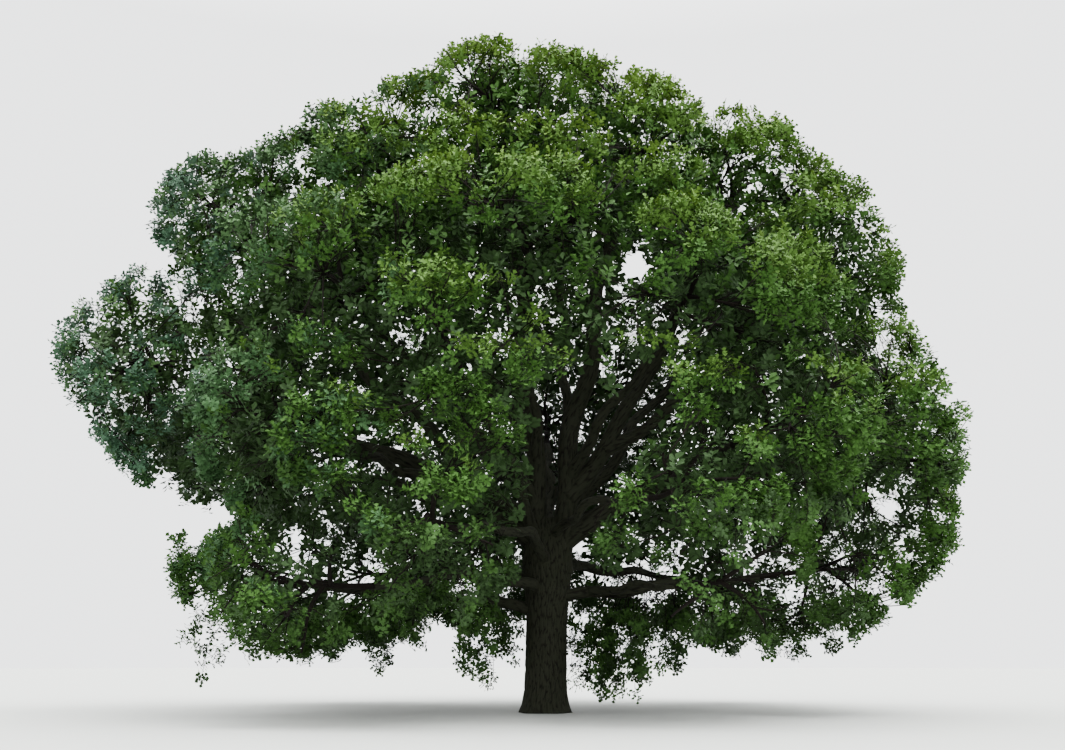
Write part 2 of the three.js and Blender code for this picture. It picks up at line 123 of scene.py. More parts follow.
# What carries the crown's surface on between the masses: its body, a metre or so inside its outline, and fill
# low at the far left, in three notches along the top, and low at the far right.
BODIES = Values(
    centres=np.array([(-0.5, 0.3, 10.5), (-12.2, -0.8, 9.0), (-8.6, -1.2, 16.5), (-1.3, -3.8, 20.0),
                      (1.6, -3.2, 18.7), (12.0, -0.8, 6.6)]),
    halves=np.array([(13.3, 11.6, 10.5), (2.0, 3.6, 1.9), (2.0, 3.4, 2.1), (2.2, 2.8, 1.7),
                     (1.6, 3.3, 2.1), (1.8, 3.4, 2.1)]),
)
# How high the crown's lower edge is, from left to right: it lifts off the ground on both sides of the trunk.
UNDERSIDE = Values(
    across=(-12.7, -11.7, -10.0, -8.3, -7.3, -6.2, -5.2, -4.0, -3.0, -2.0,
            -0.9, 1.0, 3.2, 4.0, 5.0, 6.0, 8.0, 9.7, 12.0),
    height=(3.6, 2.9, 1.0, 0.9, 1.3, 2.3, 2.9, 2.9, 2.8, 3.1,
            3.5, 3.4, 3.3, 2.5, 3.0, 2.3, 2.3, 2.3, 3.0),
    ripple=0.35,
    ripple_turns=(1.9, 1.6),  # radians a metre
)
# The deepest shade, painted into the leaves round the trunk: how wide it is, and at which heights it starts
# and is full.
UNDER_CROWN = Values(width=4.5, none_at=6, all_at=4)
# How points under the surface are looked for: rays from each middle, and steps along them in half sizes.
SEARCH = Values(rays=14, nearest=0.3, furthest=1.6, steps=66, off_ground=0.4)
# Shoots that hang from the crown's underside, where it is leafy.
HANGING = Values(depth=(0.1, 0.5), apart=1.15, facing=-0.3, highest=6.5, near=1.5, sprays_near=3, share=0.4,
                 drop=0.9, shortest=0.45)
# The long ones on both sides of the trunk, as in the photograph: where each hangs, and how low it reaches.
LONG_SHOOTS = Values(
    across=(-2.4, -2.1, -1.8, -1.4, -1.1, 1.1, 1.3, 1.6, 1.8, 2.0,
            2.2, 2.4, 2.6, 2.8, 3.0, 3.3, 4.1, 4.4, 4.8),
    lowest=(1.5, 1.2, 1.1, 1.7, 2.0, 1.3, 1.0, 0.8, 1.1, 0.8,
            1.2, 0.8, 0.9, 1.0, 0.8, 1.2, 1.6, 1.4, 1.9),
    top=3.5,
    deep=1.3,
)
# How a shoot runs, how sprays sit down it, and the low light that paints their leaves in shade.
STRUNG = Values(sway=0.12, bend=0.6, arch=0.3, outside=-0.3, step=0.3, first=0.7, share_from=0.5, cluster=2,
                aside=0.2, down=0.4, light=(-1.1, 0.25))
LOBES = Values(depth=(1.0, 1.4), apart=2.7, width=1.8, drop=0.65, most=0.85, crease=0.2, crease_depth=1.2)
CLUMPS = Values(depth=(0.25, 0.8), apart=0.8, radius=0.55, spread=0.2, flat=0.8, up=0.4, fewest=3)
# Shells of leaves deep in the crown, painted in shade greens: a dark backing that shows only as shade between
# the outer sprays.
SHADED_SHELLS = (
    Values(depth=(1.3, 1.7), apart=0.92),
    Values(depth=(2.4, 3.0), apart=1.1),
    Values(depth=(4.0, 4.8), apart=1.4),
)
SHADED_CLUMPS = Values(radius=0.85, least=0.75)
# The share of clumps left out low down, where the photograph's crown is lacy, and the extra by the trunk.
LACY = Values(below=6.0, outer=0.05, shaded=0.55, by_trunk=0.15)
SPRAYS = Values(innermost=-0.4, reach=(0.75, 1.05), off_limb=0.22, straggle=0.15, rooted=(0.45, 0.95),
                turn=0.15)
# How a branchlet runs on from what carries it. One that is this far in front of a bough would hide it.
BRANCHLETS = Values(carrier_from=0.4, handle=0.4, crook=0.06, past=0.3, before_limb=-0.8)
# How a shoot runs on from its stem.
SHOOT_LINE = Values(lift=0.3, lifted=0.5, crook=0.05, bends=(0.35, 0.7))
# How much light a spray gets from its turn and its clump's, its depth, its height and its place on its lobe,
# with the spread by chance from clump to clump and from spray to spray. It is painted into the leaves' greens:
# painted light on high, upward sprays and lobe tops, painted shade deep in, low down and round the trunk.
LIGHT = Values(turn=0.36, facing=0.25, depth=0.35, height=0.13, under_crown=1.2, lobe=0.6, inner=-2,
               by_clump=0.1, by_spray=0.06)
# Radii from root to tip.
GIRTHS = Values(shoot=(0.075, 0.03), branchlet=(0.03, 0.009), hanging=(0.02, 0.007), twig=(0.011, 0.005))
# The photograph's crown turns cooler to the left and with height, which the leaves carry as a painted bluish
# haze: from where to where, and how far.
COOLER = Values(left=(2.5, 14), height=(2, 9), most=1.7)
# How a spray's leaves are set round its axis. Angles are in radians but for the fan's, in degrees.
WHORL = Values(fan=(24, 92), fan_spread=0.18, turn_spread=0.25, tilt=0.15, sizes=(0.72, 1.12), down=0.03,
               out=0.02)
# How the bark's plates are set in their rows, and the relief at which the bark keeps its limb's own radius.
PLATES = Values(wander=((0.45, 1.7), (0.25, 4.1)), edge=0.2, height=0.8, crack=0.42, level=0.82, uneven=0.18,
                middle=0.6, spare_rows=4)
TRUNK_BARK = Values(rings=200, sides=224, seed=3)
BOUGH_BARK = Values(ring_step=0.13, side_step=0.055, girth_at=0.1, fewest_columns=6, depth=0.14, seed=11)
LEAF_SEED = 77
CURVE_STEPS = 200
STEM_POINTS = 8
SHOOT_POINTS = 9
BRANCHLET_POINTS = 5
LIMB_SAMPLES = 60
TRUNK_SAMPLES = 20

# The photograph's camera, worked out from the handrail's height and the leaning verticals at its edges.
CAMERA = Values(place=(-0.42, -40.0, 1.65), pitch=math.radians(14.0), focal_px=1150, image_px=1065,
                sensor=36.0)
OPENING_MARGIN = 0.15
FLOOR = Values(sides=128, radius=300, height=-0.005)
SUN = Values(width=math.radians(30), tilt=math.radians(32), turn=math.radians(40))

# Where the photograph shows sky through the crown: x and z in the trunk's plane, and the opening's radius.
SKY_GAPS = [
    (3.3, 15.8, 0.45), (2.0, 14.8, 0.2), (-2.8, 15.4, 0.1), (-3.9, 9.7, 0.2), (-9.6, 13.8, 0.08),
    (-8.6, 5.9, 0.25), (0.1, 7.1, 0.15), (1.2, 5.6, 0.15), (-13.0, 6.5, 0.45), (-12.2, 6.4, 0.45),
    (-11.3, 6.6, 0.35), (11.9, 6.8, 0.2), (11.6, 7.5, 0.1), (8.3, 3.9, 0.2), (6.9, 4.6, 0.1),
    (10.2, 5.2, 0.15), (5.2, 5.0, 0.1), (-6.3, 4.2, 0.1),
]
# Where it shows the trunk, the fork and the great limbs with no foliage before them, in the same way.
LIMB_VIEWS = [
    (0.1, 1.0, 1.0), (0.1, 2.6, 1.0), (0.2, 4.2, 1.1), (0.3, 5.8, 1.3), (0.9, 7.4, 1.4),
    (0.9, 9.0, 1.4), (2.6, 9.6, 1.0), (1.0, 10.8, 1.0), (3.6, 11.2, 0.9), (1.7, 3.9, 0.4),
    (2.7, 3.9, 0.4), (3.6, 4.0, 0.35), (-1.2, 3.7, 0.35), (-5.5, 8.7, 0.4), (-4.7, 8.3, 0.4),
    (-6.4, 11.6, 0.35),
]


class Mass:
    """One mass of foliage and the bough that carries it. Angles are in degrees."""

    def __init__(self, name, centre, half, parent, at, rise, arrive, girth, swing=0, offset=0, limb=None):
        self.name = name
        self.centre = np.array(centre)
        self.half = np.array(half)
        self.size = float(np.cbrt(self.half.prod()))
        self.parent = parent
        self.at = at
        self.rise = math.radians(rise)
        self.arrive = math.radians(arrive)
        self.swing = math.radians(swing)
        self.offset = offset
        self.girth = girth
        self.limb_name = limb or name + "_bough"
        self.outward = unit(self.centre - HEART)
        self.sideways = unit(np.cross(UP, self.outward))
        self.upward = np.cross(self.outward, self.sideways)


def unit(vectors):
    return vectors / np.linalg.norm(vectors, axis=-1, keepdims=True)


# Each row: name, centre and half size, the limb that its bough leaves and where along it, the bough's slope
# where it starts and ends, and its radius at root and tip.
MASSES = [
    Mass("top", (-1.4, -3.8, 19.4), (3.6, 4.3, 2.6), "trunk", 0.74, 82, 68, (0.38, 0.14),
         offset=-0.34, limb="left_stem"),
    Mass("top_right", (3.0, -3.4, 18.9), (3.1, 4.2, 2.5), "trunk", 0.72, 78, 66, (0.42, 0.14),
         offset=0.3, limb="middle_stem"),
    Mass("right_top", (6.6, -2.8, 17.4), (2.8, 4.3, 2.6), "middle_stem", 0.2, 44, 60, (0.3, 0.13),
         limb="right_stem"),
    Mass("top_left", (-5.9, -3.0, 18.4), (3.2, 4.3, 2.6), "left_stem", 0.3, 50, 56, (0.24, 0.12)),
    Mass("left_upper", (-10.8, -2.4, 16.2), (3.0, 4.5, 3.0), "left_stem", 0.1, 36, 44, (0.27, 0.13)),
    Mass("far_left", (-13.5, -2.4, 11.5), (3.0, 4.7, 3.4), "trunk", 0.84, 32, 14, (0.34, 0.14)),
    Mass("left_low", (-9.6, -2.0, 4.3), (2.6, 4.6, 2.6), "trunk", 0.5, 12, 4, (0.19, 0.11)),
    Mass("right_upper", (9.5, -2.4, 15.0), (2.9, 4.5, 3.1), "right_stem", 0.2, 24, 46, (0.21, 0.12)),
    Mass("far_right", (11.3, -2.4, 8.9), (3.0, 4.7, 3.4), "trunk", 0.82, 38, 8, (0.36, 0.14)),
    Mass("right_low", (9.3, -1.8, 4.6), (3.0, 4.6, 2.6), "trunk", 0.57, 10, 8, (0.2, 0.11)),
    Mass("front_upper_left", (-6.3, -8.0, 12.6), (3.0, 3.3, 2.5), "left_stem", 0.16, 44, 30, (0.22, 0.12)),
    Mass("front_mid_left", (-2.4, -9.7, 9.5), (2.8, 3.1, 2.4), "left_stem", 0.06, 42, 8, (0.2, 0.11)),
    Mass("front_left", (-7.7, -8.5, 8.0), (3.1, 3.3, 2.4), "far_left_bough", 0.3, 12, 2, (0.18, 0.11),
         swing=-30),
    Mass("front_low_left", (-6.6, -8.1, 3.7), (3.1, 3.5, 2.9), "trunk", 0.62, 12, -6, (0.19, 0.11)),
    Mass("front_centre_left", (-3.2, -9.9, 5.4), (2.7, 3.1, 2.6), "trunk", 0.74, 24, -8, (0.18, 0.1),
         swing=14),
    Mass("front_top", (-0.6, -8.4, 13.7), (3.0, 3.2, 2.4), "left_stem", 0.26, 46, 30, (0.18, 0.11)),
    Mass("front_upper_right", (4.2, -8.3, 12.1), (3.1, 3.3, 2.4), "middle_stem", 0.24, 38, 30, (0.2, 0.12)),
    Mass("front_right", (6.7, -8.3, 8.3), (3.0, 3.3, 2.5), "far_right_bough", 0.26, 20, 4, (0.2, 0.12),
         swing=26),
    Mass("front_mid_right", (3.7, -9.6, 6.3), (2.5, 3.1, 2.1), "trunk", 0.86, 24, -6, (0.16, 0.1)),
    Mass("front_low_right", (4.9, -7.5, 3.8), (2.9, 3.4, 2.3), "right_low_bough", 0.2, 4, -2, (0.13, 0.1),
         swing=20),
    Mass("back_top", (0.6, 3.9, 18.8), (5.0, 4.6, 3.7), "middle_stem", 0.34, 56, 60, (0.2, 0.12)),
    Mass("back_upper_left", (-7.2, 4.8, 15.6), (4.8, 4.8, 3.9), "left_stem", 0.14, 46, 44, (0.23, 0.12)),
    Mass("back_upper_right", (7.4, 4.8, 15.4), (4.8, 4.8, 3.9), "middle_stem", 0.14, 44, 44, (0.23, 0.12)),
    Mass("back_left", (-11.2, 4.9, 9.7), (4.0, 4.9, 4.0), "trunk", 0.87, 34, 16, (0.27, 0.13)),
    Mass("back_right", (10.7, 4.9, 9.6), (4.0, 4.9, 4.0), "trunk", 0.87, 34, 16, (0.27, 0.13)),
    Mass("back_mid", (0.2, 9.3, 12.2), (6.2, 4.7, 4.8), "trunk", 0.9, 48, 26, (0.27, 0.13)),
    Mass("back_low_left", (-7.4, 8.2, 5.2), (4.8, 4.9, 4.2), "trunk", 0.66, 16, 2, (0.2, 0.11)),
    Mass("back_low_right", (7.1, 8.4, 5.0), (4.8, 4.9, 4.1), "trunk", 0.7, 16, 0, (0.2, 0.11)),
    Mass("back_low", (0.1, 9.8, 4.2), (3.8, 4.3, 3.7), "trunk", 0.6, 14, -4, (0.17, 0.1)),
]
CENTRES = np.array([mass.centre for mass in MASSES])
HALVES = np.array([mass.half for mass in MASSES])
SIZES = np.array([mass.size for mass in MASSES])


# The rule of the solids
def seeded(seed):
    """The same numbers every time, and the same ones as in the solids' source."""
    state = seed

    def draw():
        nonlocal state
        state = (state * 1664525 + 1013904223) % 2**32
        return state / 2**32

    return draw


def around(spread, draw):
    """A number near one, no further from it than spread."""
    return 1 + spread * (2 * draw() - 1)


def heading(turn, slope):
    """A unit vector from a compass turn and a slope."""
    return np.array((math.cos(slope) * math.cos(turn), math.cos(slope) * math.sin(turn), math.sin(slope)))


def lerp(start, end, share):
    return start + (end - start) * share


def smoothstep(value, low, high):
    share = np.clip((value - low) / (high - low), 0, 1)
    return share * share * (3 - 2 * share)


def trunk_radius(height, angle):
    """With the root flare and its lobes, the swelling under the fork, and the closed top."""
    foot = np.exp(-height / TRUNK.flare_height)
    shoulder = smoothstep(height, TRUNK.swell_from, TRUNK.crotch)
    lobes = 1 + TRUNK.lobe_depth * foot * np.cos(TRUNK.root_lobes * angle + TRUNK.lobe_turn)
    closing = np.clip((height - TRUNK.crotch) / (TRUNK.height - TRUNK.crotch), 0, None)
    dome = np.sqrt(1 - TRUNK.closed * closing**2)
    return (TRUNK.shaft + TRUNK.flare * foot + TRUNK.swell * shoulder) * lobes * dome


def trunk_point(share):
    height = share * TRUNK.height
    return np.array((TRUNK.lean * height, 0, height))


def bezier(points, shares):
    """Points on a Bezier curve of any degree, at the given shares."""
    degree = len(points) - 1
    shares = np.asarray(shares)[:, None]
    weights = [math.comb(degree, k) * shares**k * (1 - shares) ** (degree - k) for k in range(degree + 1)]
    return sum(weight * np.asarray(point) for weight, point in zip(weights, points))


class Limb:
    """A tapering limb: one smooth sweep with the crooks of an oak, read by share of its length."""

    def __init__(self, start, leave, end, arrive, girth, seed):
        draw = seeded(seed)
        distance = np.linalg.norm(end - start)
        crook = distance * LIMB_SHAPE.crook * around(LIMB_SHAPE.crook_spread, draw)
        turns = LIMB_SHAPE.turns * around(LIMB_SHAPE.turn_spread, draw)
        phase = 2 * math.pi * draw()
        side = unit(np.cross(leave, UP))
        over = unit(np.cross(side, leave))
        handle = distance * LIMB_SHAPE.handle
        shares = np.linspace(0, 1, CURVE_STEPS + 1)
        sweep = bezier([start, start + leave * handle, end - arrive * handle, end], shares)
        wave = crook * np.sin(math.pi * shares)[:, None]
        angle = (phase + 2 * math.pi * turns * shares)[:, None]
        self.points = sweep + wave * np.cos(angle) * side + wave * np.sin(angle) * over
        steps = np.linalg.norm(np.diff(self.points, axis=0), axis=1)
        self.lengths = np.concatenate(([0], np.cumsum(steps)))
        self.length = self.lengths[-1]
        self.base, self.tip = girth
        self.end = end
        self.arrive = unit(self.points[-1] - self.points[-2])

    def point(self, shares):
        at = np.atleast_1d(shares) * self.length
        return np.stack([np.interp(at, self.lengths, self.points[:, k]) for k in range(3)], axis=1)

    def radius(self, shares):
        collar = self.base * COLLAR.extra * np.exp(-shares * self.length / COLLAR.length)
        return self.tip + (self.base - self.tip) * (1 - shares) ** LIMB_SHAPE.taper + collar


def inside_cell(points, index):
    """How far each point is inside the nearest plane between its mass and another."""
    power = ((points[:, None] - CENTRES) ** 2).sum(axis=2) - SIZES**2
    apart = np.linalg.norm(CENTRES - CENTRES[index], axis=1)
    apart[index] = 1
    gaps = (power - power[:, index, None]) / (2 * apart)
    gaps[:, index] = np.inf
    return gaps.min(axis=1)


def in_space(points, index):
    """Which points are inside the mass's ellipsoid and its own cell, and clear of the ground."""
    mass = MASSES[index]
    inside = np.linalg.norm((points - mass.centre) / mass.half, axis=1) < 1
    return inside & (points[:, 2] > LOWEST_LEAF) & (inside_cell(points, index) > CELL_CLEAR)


def entry_point(index, start):
    """Where a bough ends: on the inner side of its mass's space."""
    mass = MASSES[index]
    inward = start - mass.centre
    reach = ENTRY.reach / np.linalg.norm(inward / mass.half)
    while inside_cell((mass.centre + inward * reach)[None], index)[0] < ENTRY.clear:
        reach *= ENTRY.shrink
    return mass.centre + inward * reach


@functools.cache
def limbs():
    """Every stem and bough by name, in the order in which they branch."""
    found = {}
    for index, mass in enumerate(MASSES):
        if mass.parent == "trunk":
            start = trunk_point(mass.at)
        else:
            start = found[mass.parent].point(mass.at)[0]
        start = start + np.array((mass.offset, 0, 0))
        end = entry_point(index, start)
        turn = math.atan2(end[1] - start[1], end[0] - start[0])
        leave = heading(turn + mass.swing, mass.rise)
        arrive = heading(turn, mass.arrive)
        seed = SEEDS.limb + SEEDS.limb_step * index
        found[mass.limb_name] = Limb(start, leave, end, arrive, mass.girth, seed)
    return found


def even_directions(axes, count, innermost, spin):
    """Directions spread evenly by the golden angle, from the first axis round to the cosine innermost."""
    steps = np.arange(count)
    depth = lerp(1, innermost, (steps + 0.5) / count)
    ring = np.sqrt(1 - depth**2)
    angle = spin + steps * GOLDEN_ANGLE
    outward, sideways, upward = axes
    return (depth[:, None] * outward + (ring * np.cos(angle))[:, None] * sideways
            + (ring * np.sin(angle))[:, None] * upward)


def drawn_in(index, directions, reaches):
    """Points out along each direction, each drawn in until it is in its mass's space."""
    mass = MASSES[index]
    reaches = reaches.copy()
    while True:
        points = mass.centre + directions * mass.half * reaches[:, None]
        outside = ~in_space(points, index) & (reaches > SHOOTS.shortest)
        if not outside.any():
            return points
        reaches[outside] *= SHOOTS.shrink


# Meshes from arrays
def between_rings(corner):
    """Four-sided faces between rings of vertices. corner numbers them, by ring and then by side."""
    near, far = corner[..., :-1, :], corner[..., 1:, :]
    faces = [near, np.roll(near, -1, axis=-1), np.roll(far, -1, axis=-1), far]
    return np.stack(faces, axis=-1).reshape(-1, 4)


def tubes(lines, radii, sides):
    """Vertices and four-sided faces of many tubes. lines is count x steps x 3, and radii count x steps."""
    count, steps = radii.shape
    tangents = unit(np.gradient(lines, axis=1))
    mean = unit(lines[:, -1] - lines[:, 0])
    helper = np.where(np.abs(mean[:, 2:]) < STEEP, UP, np.array((1.0, 0, 0)))
    normals = unit(np.cross(tangents, helper[:, None]))
    binormals = np.cross(tangents, normals)
    angles = np.arange(sides) * 2 * math.pi / sides
    rings = (normals[:, :, None] * np.cos(angles)[:, None] + binormals[:, :, None] * np.sin(angles)[:, None])
    vertices = lines[:, :, None] + rings * radii[:, :, None, None]
    corner = np.arange(count * steps * sides).reshape(count, steps, sides)
    return vertices.reshape(-1, 3), between_rings(corner)


def joined(parts):
    """Several (vertices, faces) pairs as one, where all faces have as many corners."""
    offset = 0
    all_vertices, all_faces = [], []
    for vertices, faces in parts:
        all_vertices.append(vertices)
        all_faces.append(faces + offset)
        offset += len(vertices)
    return np.concatenate(all_vertices), np.concatenate(all_faces)


def add_piece(name, vertices, faces, material, smooth=True, nodes=()):
    """A mesh piece from arrays, riding on the tree's one body."""
    corners = faces.shape[1]
    mesh = bpy.data.meshes.new(name)
    mesh.vertices.add(len(vertices))
    mesh.vertices.foreach_set("co", vertices.astype(np.float32).ravel())
    mesh.loops.add(faces.size)
    mesh.loops.foreach_set("vertex_index", faces.astype(np.int32).ravel())
    mesh.polygons.add(len(faces))
    mesh.polygons.foreach_set("loop_start", np.arange(len(faces), dtype=np.int32) * corners)
    mesh.polygons.foreach_set("use_smooth", np.full(len(faces), smooth))
    mesh.update(calc_edges=True)
    mesh.materials.append(material)
    piece = bpy.data.objects.new(name, mesh)
    bpy.context.scene.collection.objects.link(piece)
    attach(piece, "root")
    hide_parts(*nodes)
    return piece


# Bark
def furrows(around_share, along, columns, plate_length, seed):
    """The bark's relief from 0 in a furrow to 1 on a plate: long plates parted by cracks that wander."""
    rng = np.random.default_rng(seed)
    (wide, slow), (narrow, fast) = PLATES.wander
    drift = wide * np.sin(along * slow + seed) + narrow * np.sin(along * fast + 2 * seed)
    column = around_share * columns + drift
    row = along / plate_length
    rows = int(row.max()) + PLATES.spare_rows
    jitter = rng.random((columns, rows, 2))
    nearest = np.full(column.shape, np.inf)
    second = nearest.copy()
    for across in (-1, 0, 1):
        for up in (-1, 0, 1):
            cell_column = np.floor(column).astype(int) + across
            shift = (cell_column % 2) * 0.5
            cell_row = np.floor(row + shift).astype(int) + up
            place = jitter[cell_column % columns, np.clip(cell_row + 1, 0, rows - 1)]
            away = np.hypot(column - cell_column - PLATES.edge - (1 - 2 * PLATES.edge) * place[..., 0],
                            PLATES.height * (row + shift - cell_row - place[..., 1]))
            second = np.minimum(second, np.maximum(nearest, away))
            nearest = np.minimum(nearest, away)
    crack = np.clip((second - nearest) / PLATES.crack, 0, 1)
    return np.sqrt(crack) * (PLATES.level + PLATES.uneven * np.cos(3 * column + 2 * row))


def bark_tube(centres, radii, ring_sides, columns, plate_length, depth, seed):
    """A closed tube with the bark's relief. radii is rings x sides, and depth is the relief's at each ring."""
    rings = len(centres)
    tangents = unit(np.gradient(centres, axis=0))
    normal = unit(np.cross(tangents[0], ASKEW.bark))
    sides = np.arange(ring_sides) / ring_sides
    angles = 2 * math.pi * sides
    along = np.concatenate(([0], np.cumsum(np.linalg.norm(np.diff(centres, axis=0), axis=1))))
    relief = furrows(sides[None], along[:, None] + 0 * sides, columns, plate_length, seed)
    vertices = np.empty((rings, ring_sides, 3))
    for i, tangent in enumerate(tangents):
        normal = unit(normal - tangent * normal.dot(tangent))
        binormal = np.cross(tangent, normal)
        spoke = np.cos(angles)[:, None] * normal + np.sin(angles)[:, None] * binormal
        vertices[i] = centres[i] + spoke * (radii[i] + depth[i] * (relief[i] - PLATES.middle))[:, None]
    corner = np.arange(rings * ring_sides).reshape(rings, ring_sides)
    first, last = rings * ring_sides, rings * ring_sides + 1
    start_cap = [(first, corner[0, (k + 2) % ring_sides], corner[0, (k + 1) % ring_sides], corner[0, k])
                 for k in range(0, ring_sides, 2)]
    end_cap = [(last, corner[-1, k], corner[-1, (k + 1) % ring_sides], corner[-1, (k + 2) % ring_sides])
               for k in range(0, ring_sides, 2)]
    vertices = np.concatenate([vertices.reshape(-1, 3), centres[[0, -1]]])
    faces = np.concatenate([between_rings(corner), start_cap, end_cap])
    return vertices, faces, np.concatenate([relief.ravel(), (0.5, 0.5)])


def even(number):
    """The even number nearest to a number, and six at least."""
    return 2 * max(3, round(number / 2))


def add_relief(piece, relief):
    """Keep the relief on the mesh, where its material reads it."""
    attribute = piece.data.attributes.new("relief", "FLOAT", "POINT")
    attribute.data.foreach_set("value", relief.astype(np.float32))


# Crown
def depth_inside(points):
    """How deep each point is under the crown's surface: masses and body blended, down to the underside."""
    spread = np.linalg.norm((points[:, None] - CENTRES) / HALVES, axis=2)
    body = np.linalg.norm((points[:, None] - BODIES.centres) / BODIES.halves, axis=2)
    away = np.column_stack([(spread - 1) * SIZES, (body - 1) * BODIES.halves.mean(axis=1)])
    depth = SURFACE.blend * np.log(np.exp(-away / SURFACE.blend).sum(axis=1)) - SURFACE.inset
    turns = points[:, :2] * UNDERSIDE.ripple_turns
    ripple = UNDERSIDE.ripple * np.sin(turns[:, 0]) * np.cos(turns[:, 1])
    underside = np.interp(points[:, 0], UNDERSIDE.across, UNDERSIDE.height)
    return np.minimum(depth, points[:, 2] - underside - ripple)


def facing(points):
    """The way that the crown's surface faces, at each point under it."""
    steps = SURFACE.slope_step * np.eye(3)
    slopes = [depth_inside(points + step) - depth_inside(points - step) for step in steps]
    return unit(-np.stack(slopes, axis=1))


def shell(depth, apart, rng):
    """Points between two depths under the crown's surface, no nearer to each other than apart.
    They are looked for outward from the middle of every mass, and of the crown's body."""
    found = []
    for centre, half in [*zip(BODIES.centres, BODIES.halves), *zip(CENTRES, HALVES)]:
        count = round(SEARCH.rays * (half.mean() / apart) ** 2)
        directions = even_directions(np.eye(3), count, -1, 2 * math.pi * rng.random())
        reaches = np.linspace(SEARCH.nearest, SEARCH.furthest, SEARCH.steps)
        points = centre + directions[:, None] * half * reaches[:, None]
        depths = depth_inside(points.reshape(-1, 3)).reshape(count, -1)
        inside = depths > rng.uniform(*depth, count)[:, None]
        outermost = inside.shape[1] - 1 - np.argmax(inside[:, ::-1], axis=1)
        leaves_crown = inside.any(axis=1) & (outermost < inside.shape[1] - 1)
        found.append(points[np.arange(count), outermost][leaves_crown])
    found = rng.permutation(np.concatenate(found))
    kept = np.empty((0, 3))
    for point in found[found[:, 2] > LOWEST_LEAF + SEARCH.off_ground]:
        if not len(kept) or ((kept - point) ** 2).sum(axis=1).min() > apart**2:
            kept = np.vstack([kept, point])
    return kept


@functools.cache
def crown():
    """All that grows on from the boughs: lines of stems, shoots, branchlets and twigs, and the sprays."""
    grown = Values(stems=[], shoots=[], branchlets=[], twigs=[], sprays=[])
    shoots = [grow_shoots(index, grown) for index in range(len(MASSES))]
    shares = np.linspace(BRANCHLETS.carrier_from, 1, SHOOT_POINTS)
    carriers = np.concatenate([*shoots, [limb.point(shares) for limb in limbs().values()]])
    rng = np.random.default_rng(SEEDS.crown)
    lobes = shell(LOBES.depth, LOBES.apart, rng)
    for level, settings in enumerate((CLUMPS, *SHADED_SHELLS)):
        centres = shell(settings.depth, settings.apart, rng)
        left_out = (LACY.shaded if level else LACY.outer) + LACY.by_trunk * under_crown(centres)
        lacy = centres[:, 2] < LACY.below
        centres = centres[~(lacy & (rng.random(len(centres)) < left_out))]
        for centre, normal in zip(centres, facing(centres)):
            grow_clump(centre, normal, level, carriers, lobes, rng, grown)
    places = shell(HANGING.depth, HANGING.apart, rng)
    below = (facing(places)[:, 2] < HANGING.facing) & (places[:, 2] < HANGING.highest)
    leafy = np.concatenate(grown.sprays)[:, :3]
    for place in places[below]:
        leafy_there = (np.linalg.norm(leafy - place, axis=1) < HANGING.near).sum() > HANGING.sprays_near
        if leafy_there and rng.random() < HANGING.share:
            grow_hanging(place, HANGING.drop * rng.uniform(HANGING.shortest, 1), carriers, rng, grown)
    for across, lowest in zip(LONG_SHOOTS.across, LONG_SHOOTS.lowest):
        place = np.array((across, rng.normal(0, LONG_SHOOTS.deep), LONG_SHOOTS.top))
        grow_hanging(place, LONG_SHOOTS.top - lowest, carriers, rng, grown)
    return grown


def under_crown(points):
    """How far each point is in the crown's deepest shade, low down round the trunk, from 0 to 1."""
    low = smoothstep(-points[:, 2], -UNDER_CROWN.none_at, -UNDER_CROWN.all_at)
    return np.exp(-((points[:, 0] / UNDER_CROWN.width) ** 2)) * low


def grow_shoots(index, grown):
    """A mass's stem and shoots, by the rule of the solids. The shoots' lines come back as one array."""
    mass = MASSES[index]
    limb = limbs()[mass.limb_name]
    draw = seeded(SEEDS.mass + SEEDS.mass_step * index)
    rng = np.random.default_rng(SEEDS.mass + index)
    for _ in range(CORE_DRAWS):
        draw()

    # The stem runs on from the bough's end to the middle of the mass.
    distance = np.linalg.norm(mass.centre - limb.end)
    stem = [limb.end - limb.arrive * STEM.overlap, limb.end + limb.arrive * distance * STEM.bend, mass.centre]
    shares = np.linspace(0, 1, STEM_POINTS)
    grown.stems.append((bezier(stem, shares), limb.tip * np.linspace(STEM.root, STEM.tip, STEM_POINTS)))

    # Shoots leave it for the outside of the mass.
    count = round(mass.size / SHOOTS.step)
    axes = (mass.outward, mass.sideways, mass.upward)
    directions = even_directions(axes, count, SHOOTS.innermost, 2 * math.pi * draw())
    reaches = SHOOTS.reach * (1 + SHOOTS.spread * (2 * rng.random(count) - 1))
    ends = drawn_in(index, directions, reaches)
    roots = bezier(stem, lerp(SHOOTS.root_from, SHOOTS.root_to, np.arange(count) / (count - 1)))
    lift = unit(mass.centre - limb.end) * SHOOT_LINE.lift
    lines = []
    for root, end in zip(roots, ends):
        reach = np.linalg.norm(end - root)
        crooks = rng.normal(0, SHOOT_LINE.crook * reach, (2, 3))
        first, second = (lerp(root, end, share) for share in SHOOT_LINE.bends)
        middle = [first + lift * reach * SHOOT_LINE.lifted + crooks[0], second + crooks[1]]
        line = bezier([root, *middle, end], np.linspace(0, 1, SHOOT_POINTS))
        lines.append(line)
        grown.shoots.append((line, np.linspace(*GIRTHS.shoot, SHOOT_POINTS)))
    return np.array(lines)


def free_places(places):
    """Which places a spray may take: off the ground and the limbs, in the box, and not before an opening."""
    free = (places[:, 2] > LOWEST_LEAF) & off_limbs(places) & in_box(places)
    return free & ~in_view(places, SKY_GAPS) & ~(in_view(places, LIMB_VIEWS) & (places[:, 1] < 0))


def add_sprays(grown, line, girth, roots, places, axes, light, level):
    """A branchlet, with a twig and a spray at each of its places."""
    grown.branchlets.append((line, np.linspace(*girth, BRANCHLET_POINTS)))
    grown.twigs.append(np.stack([roots, places], axis=1))
    grown.sprays.append(np.column_stack([places, axes, light, np.full(len(places), level)]))


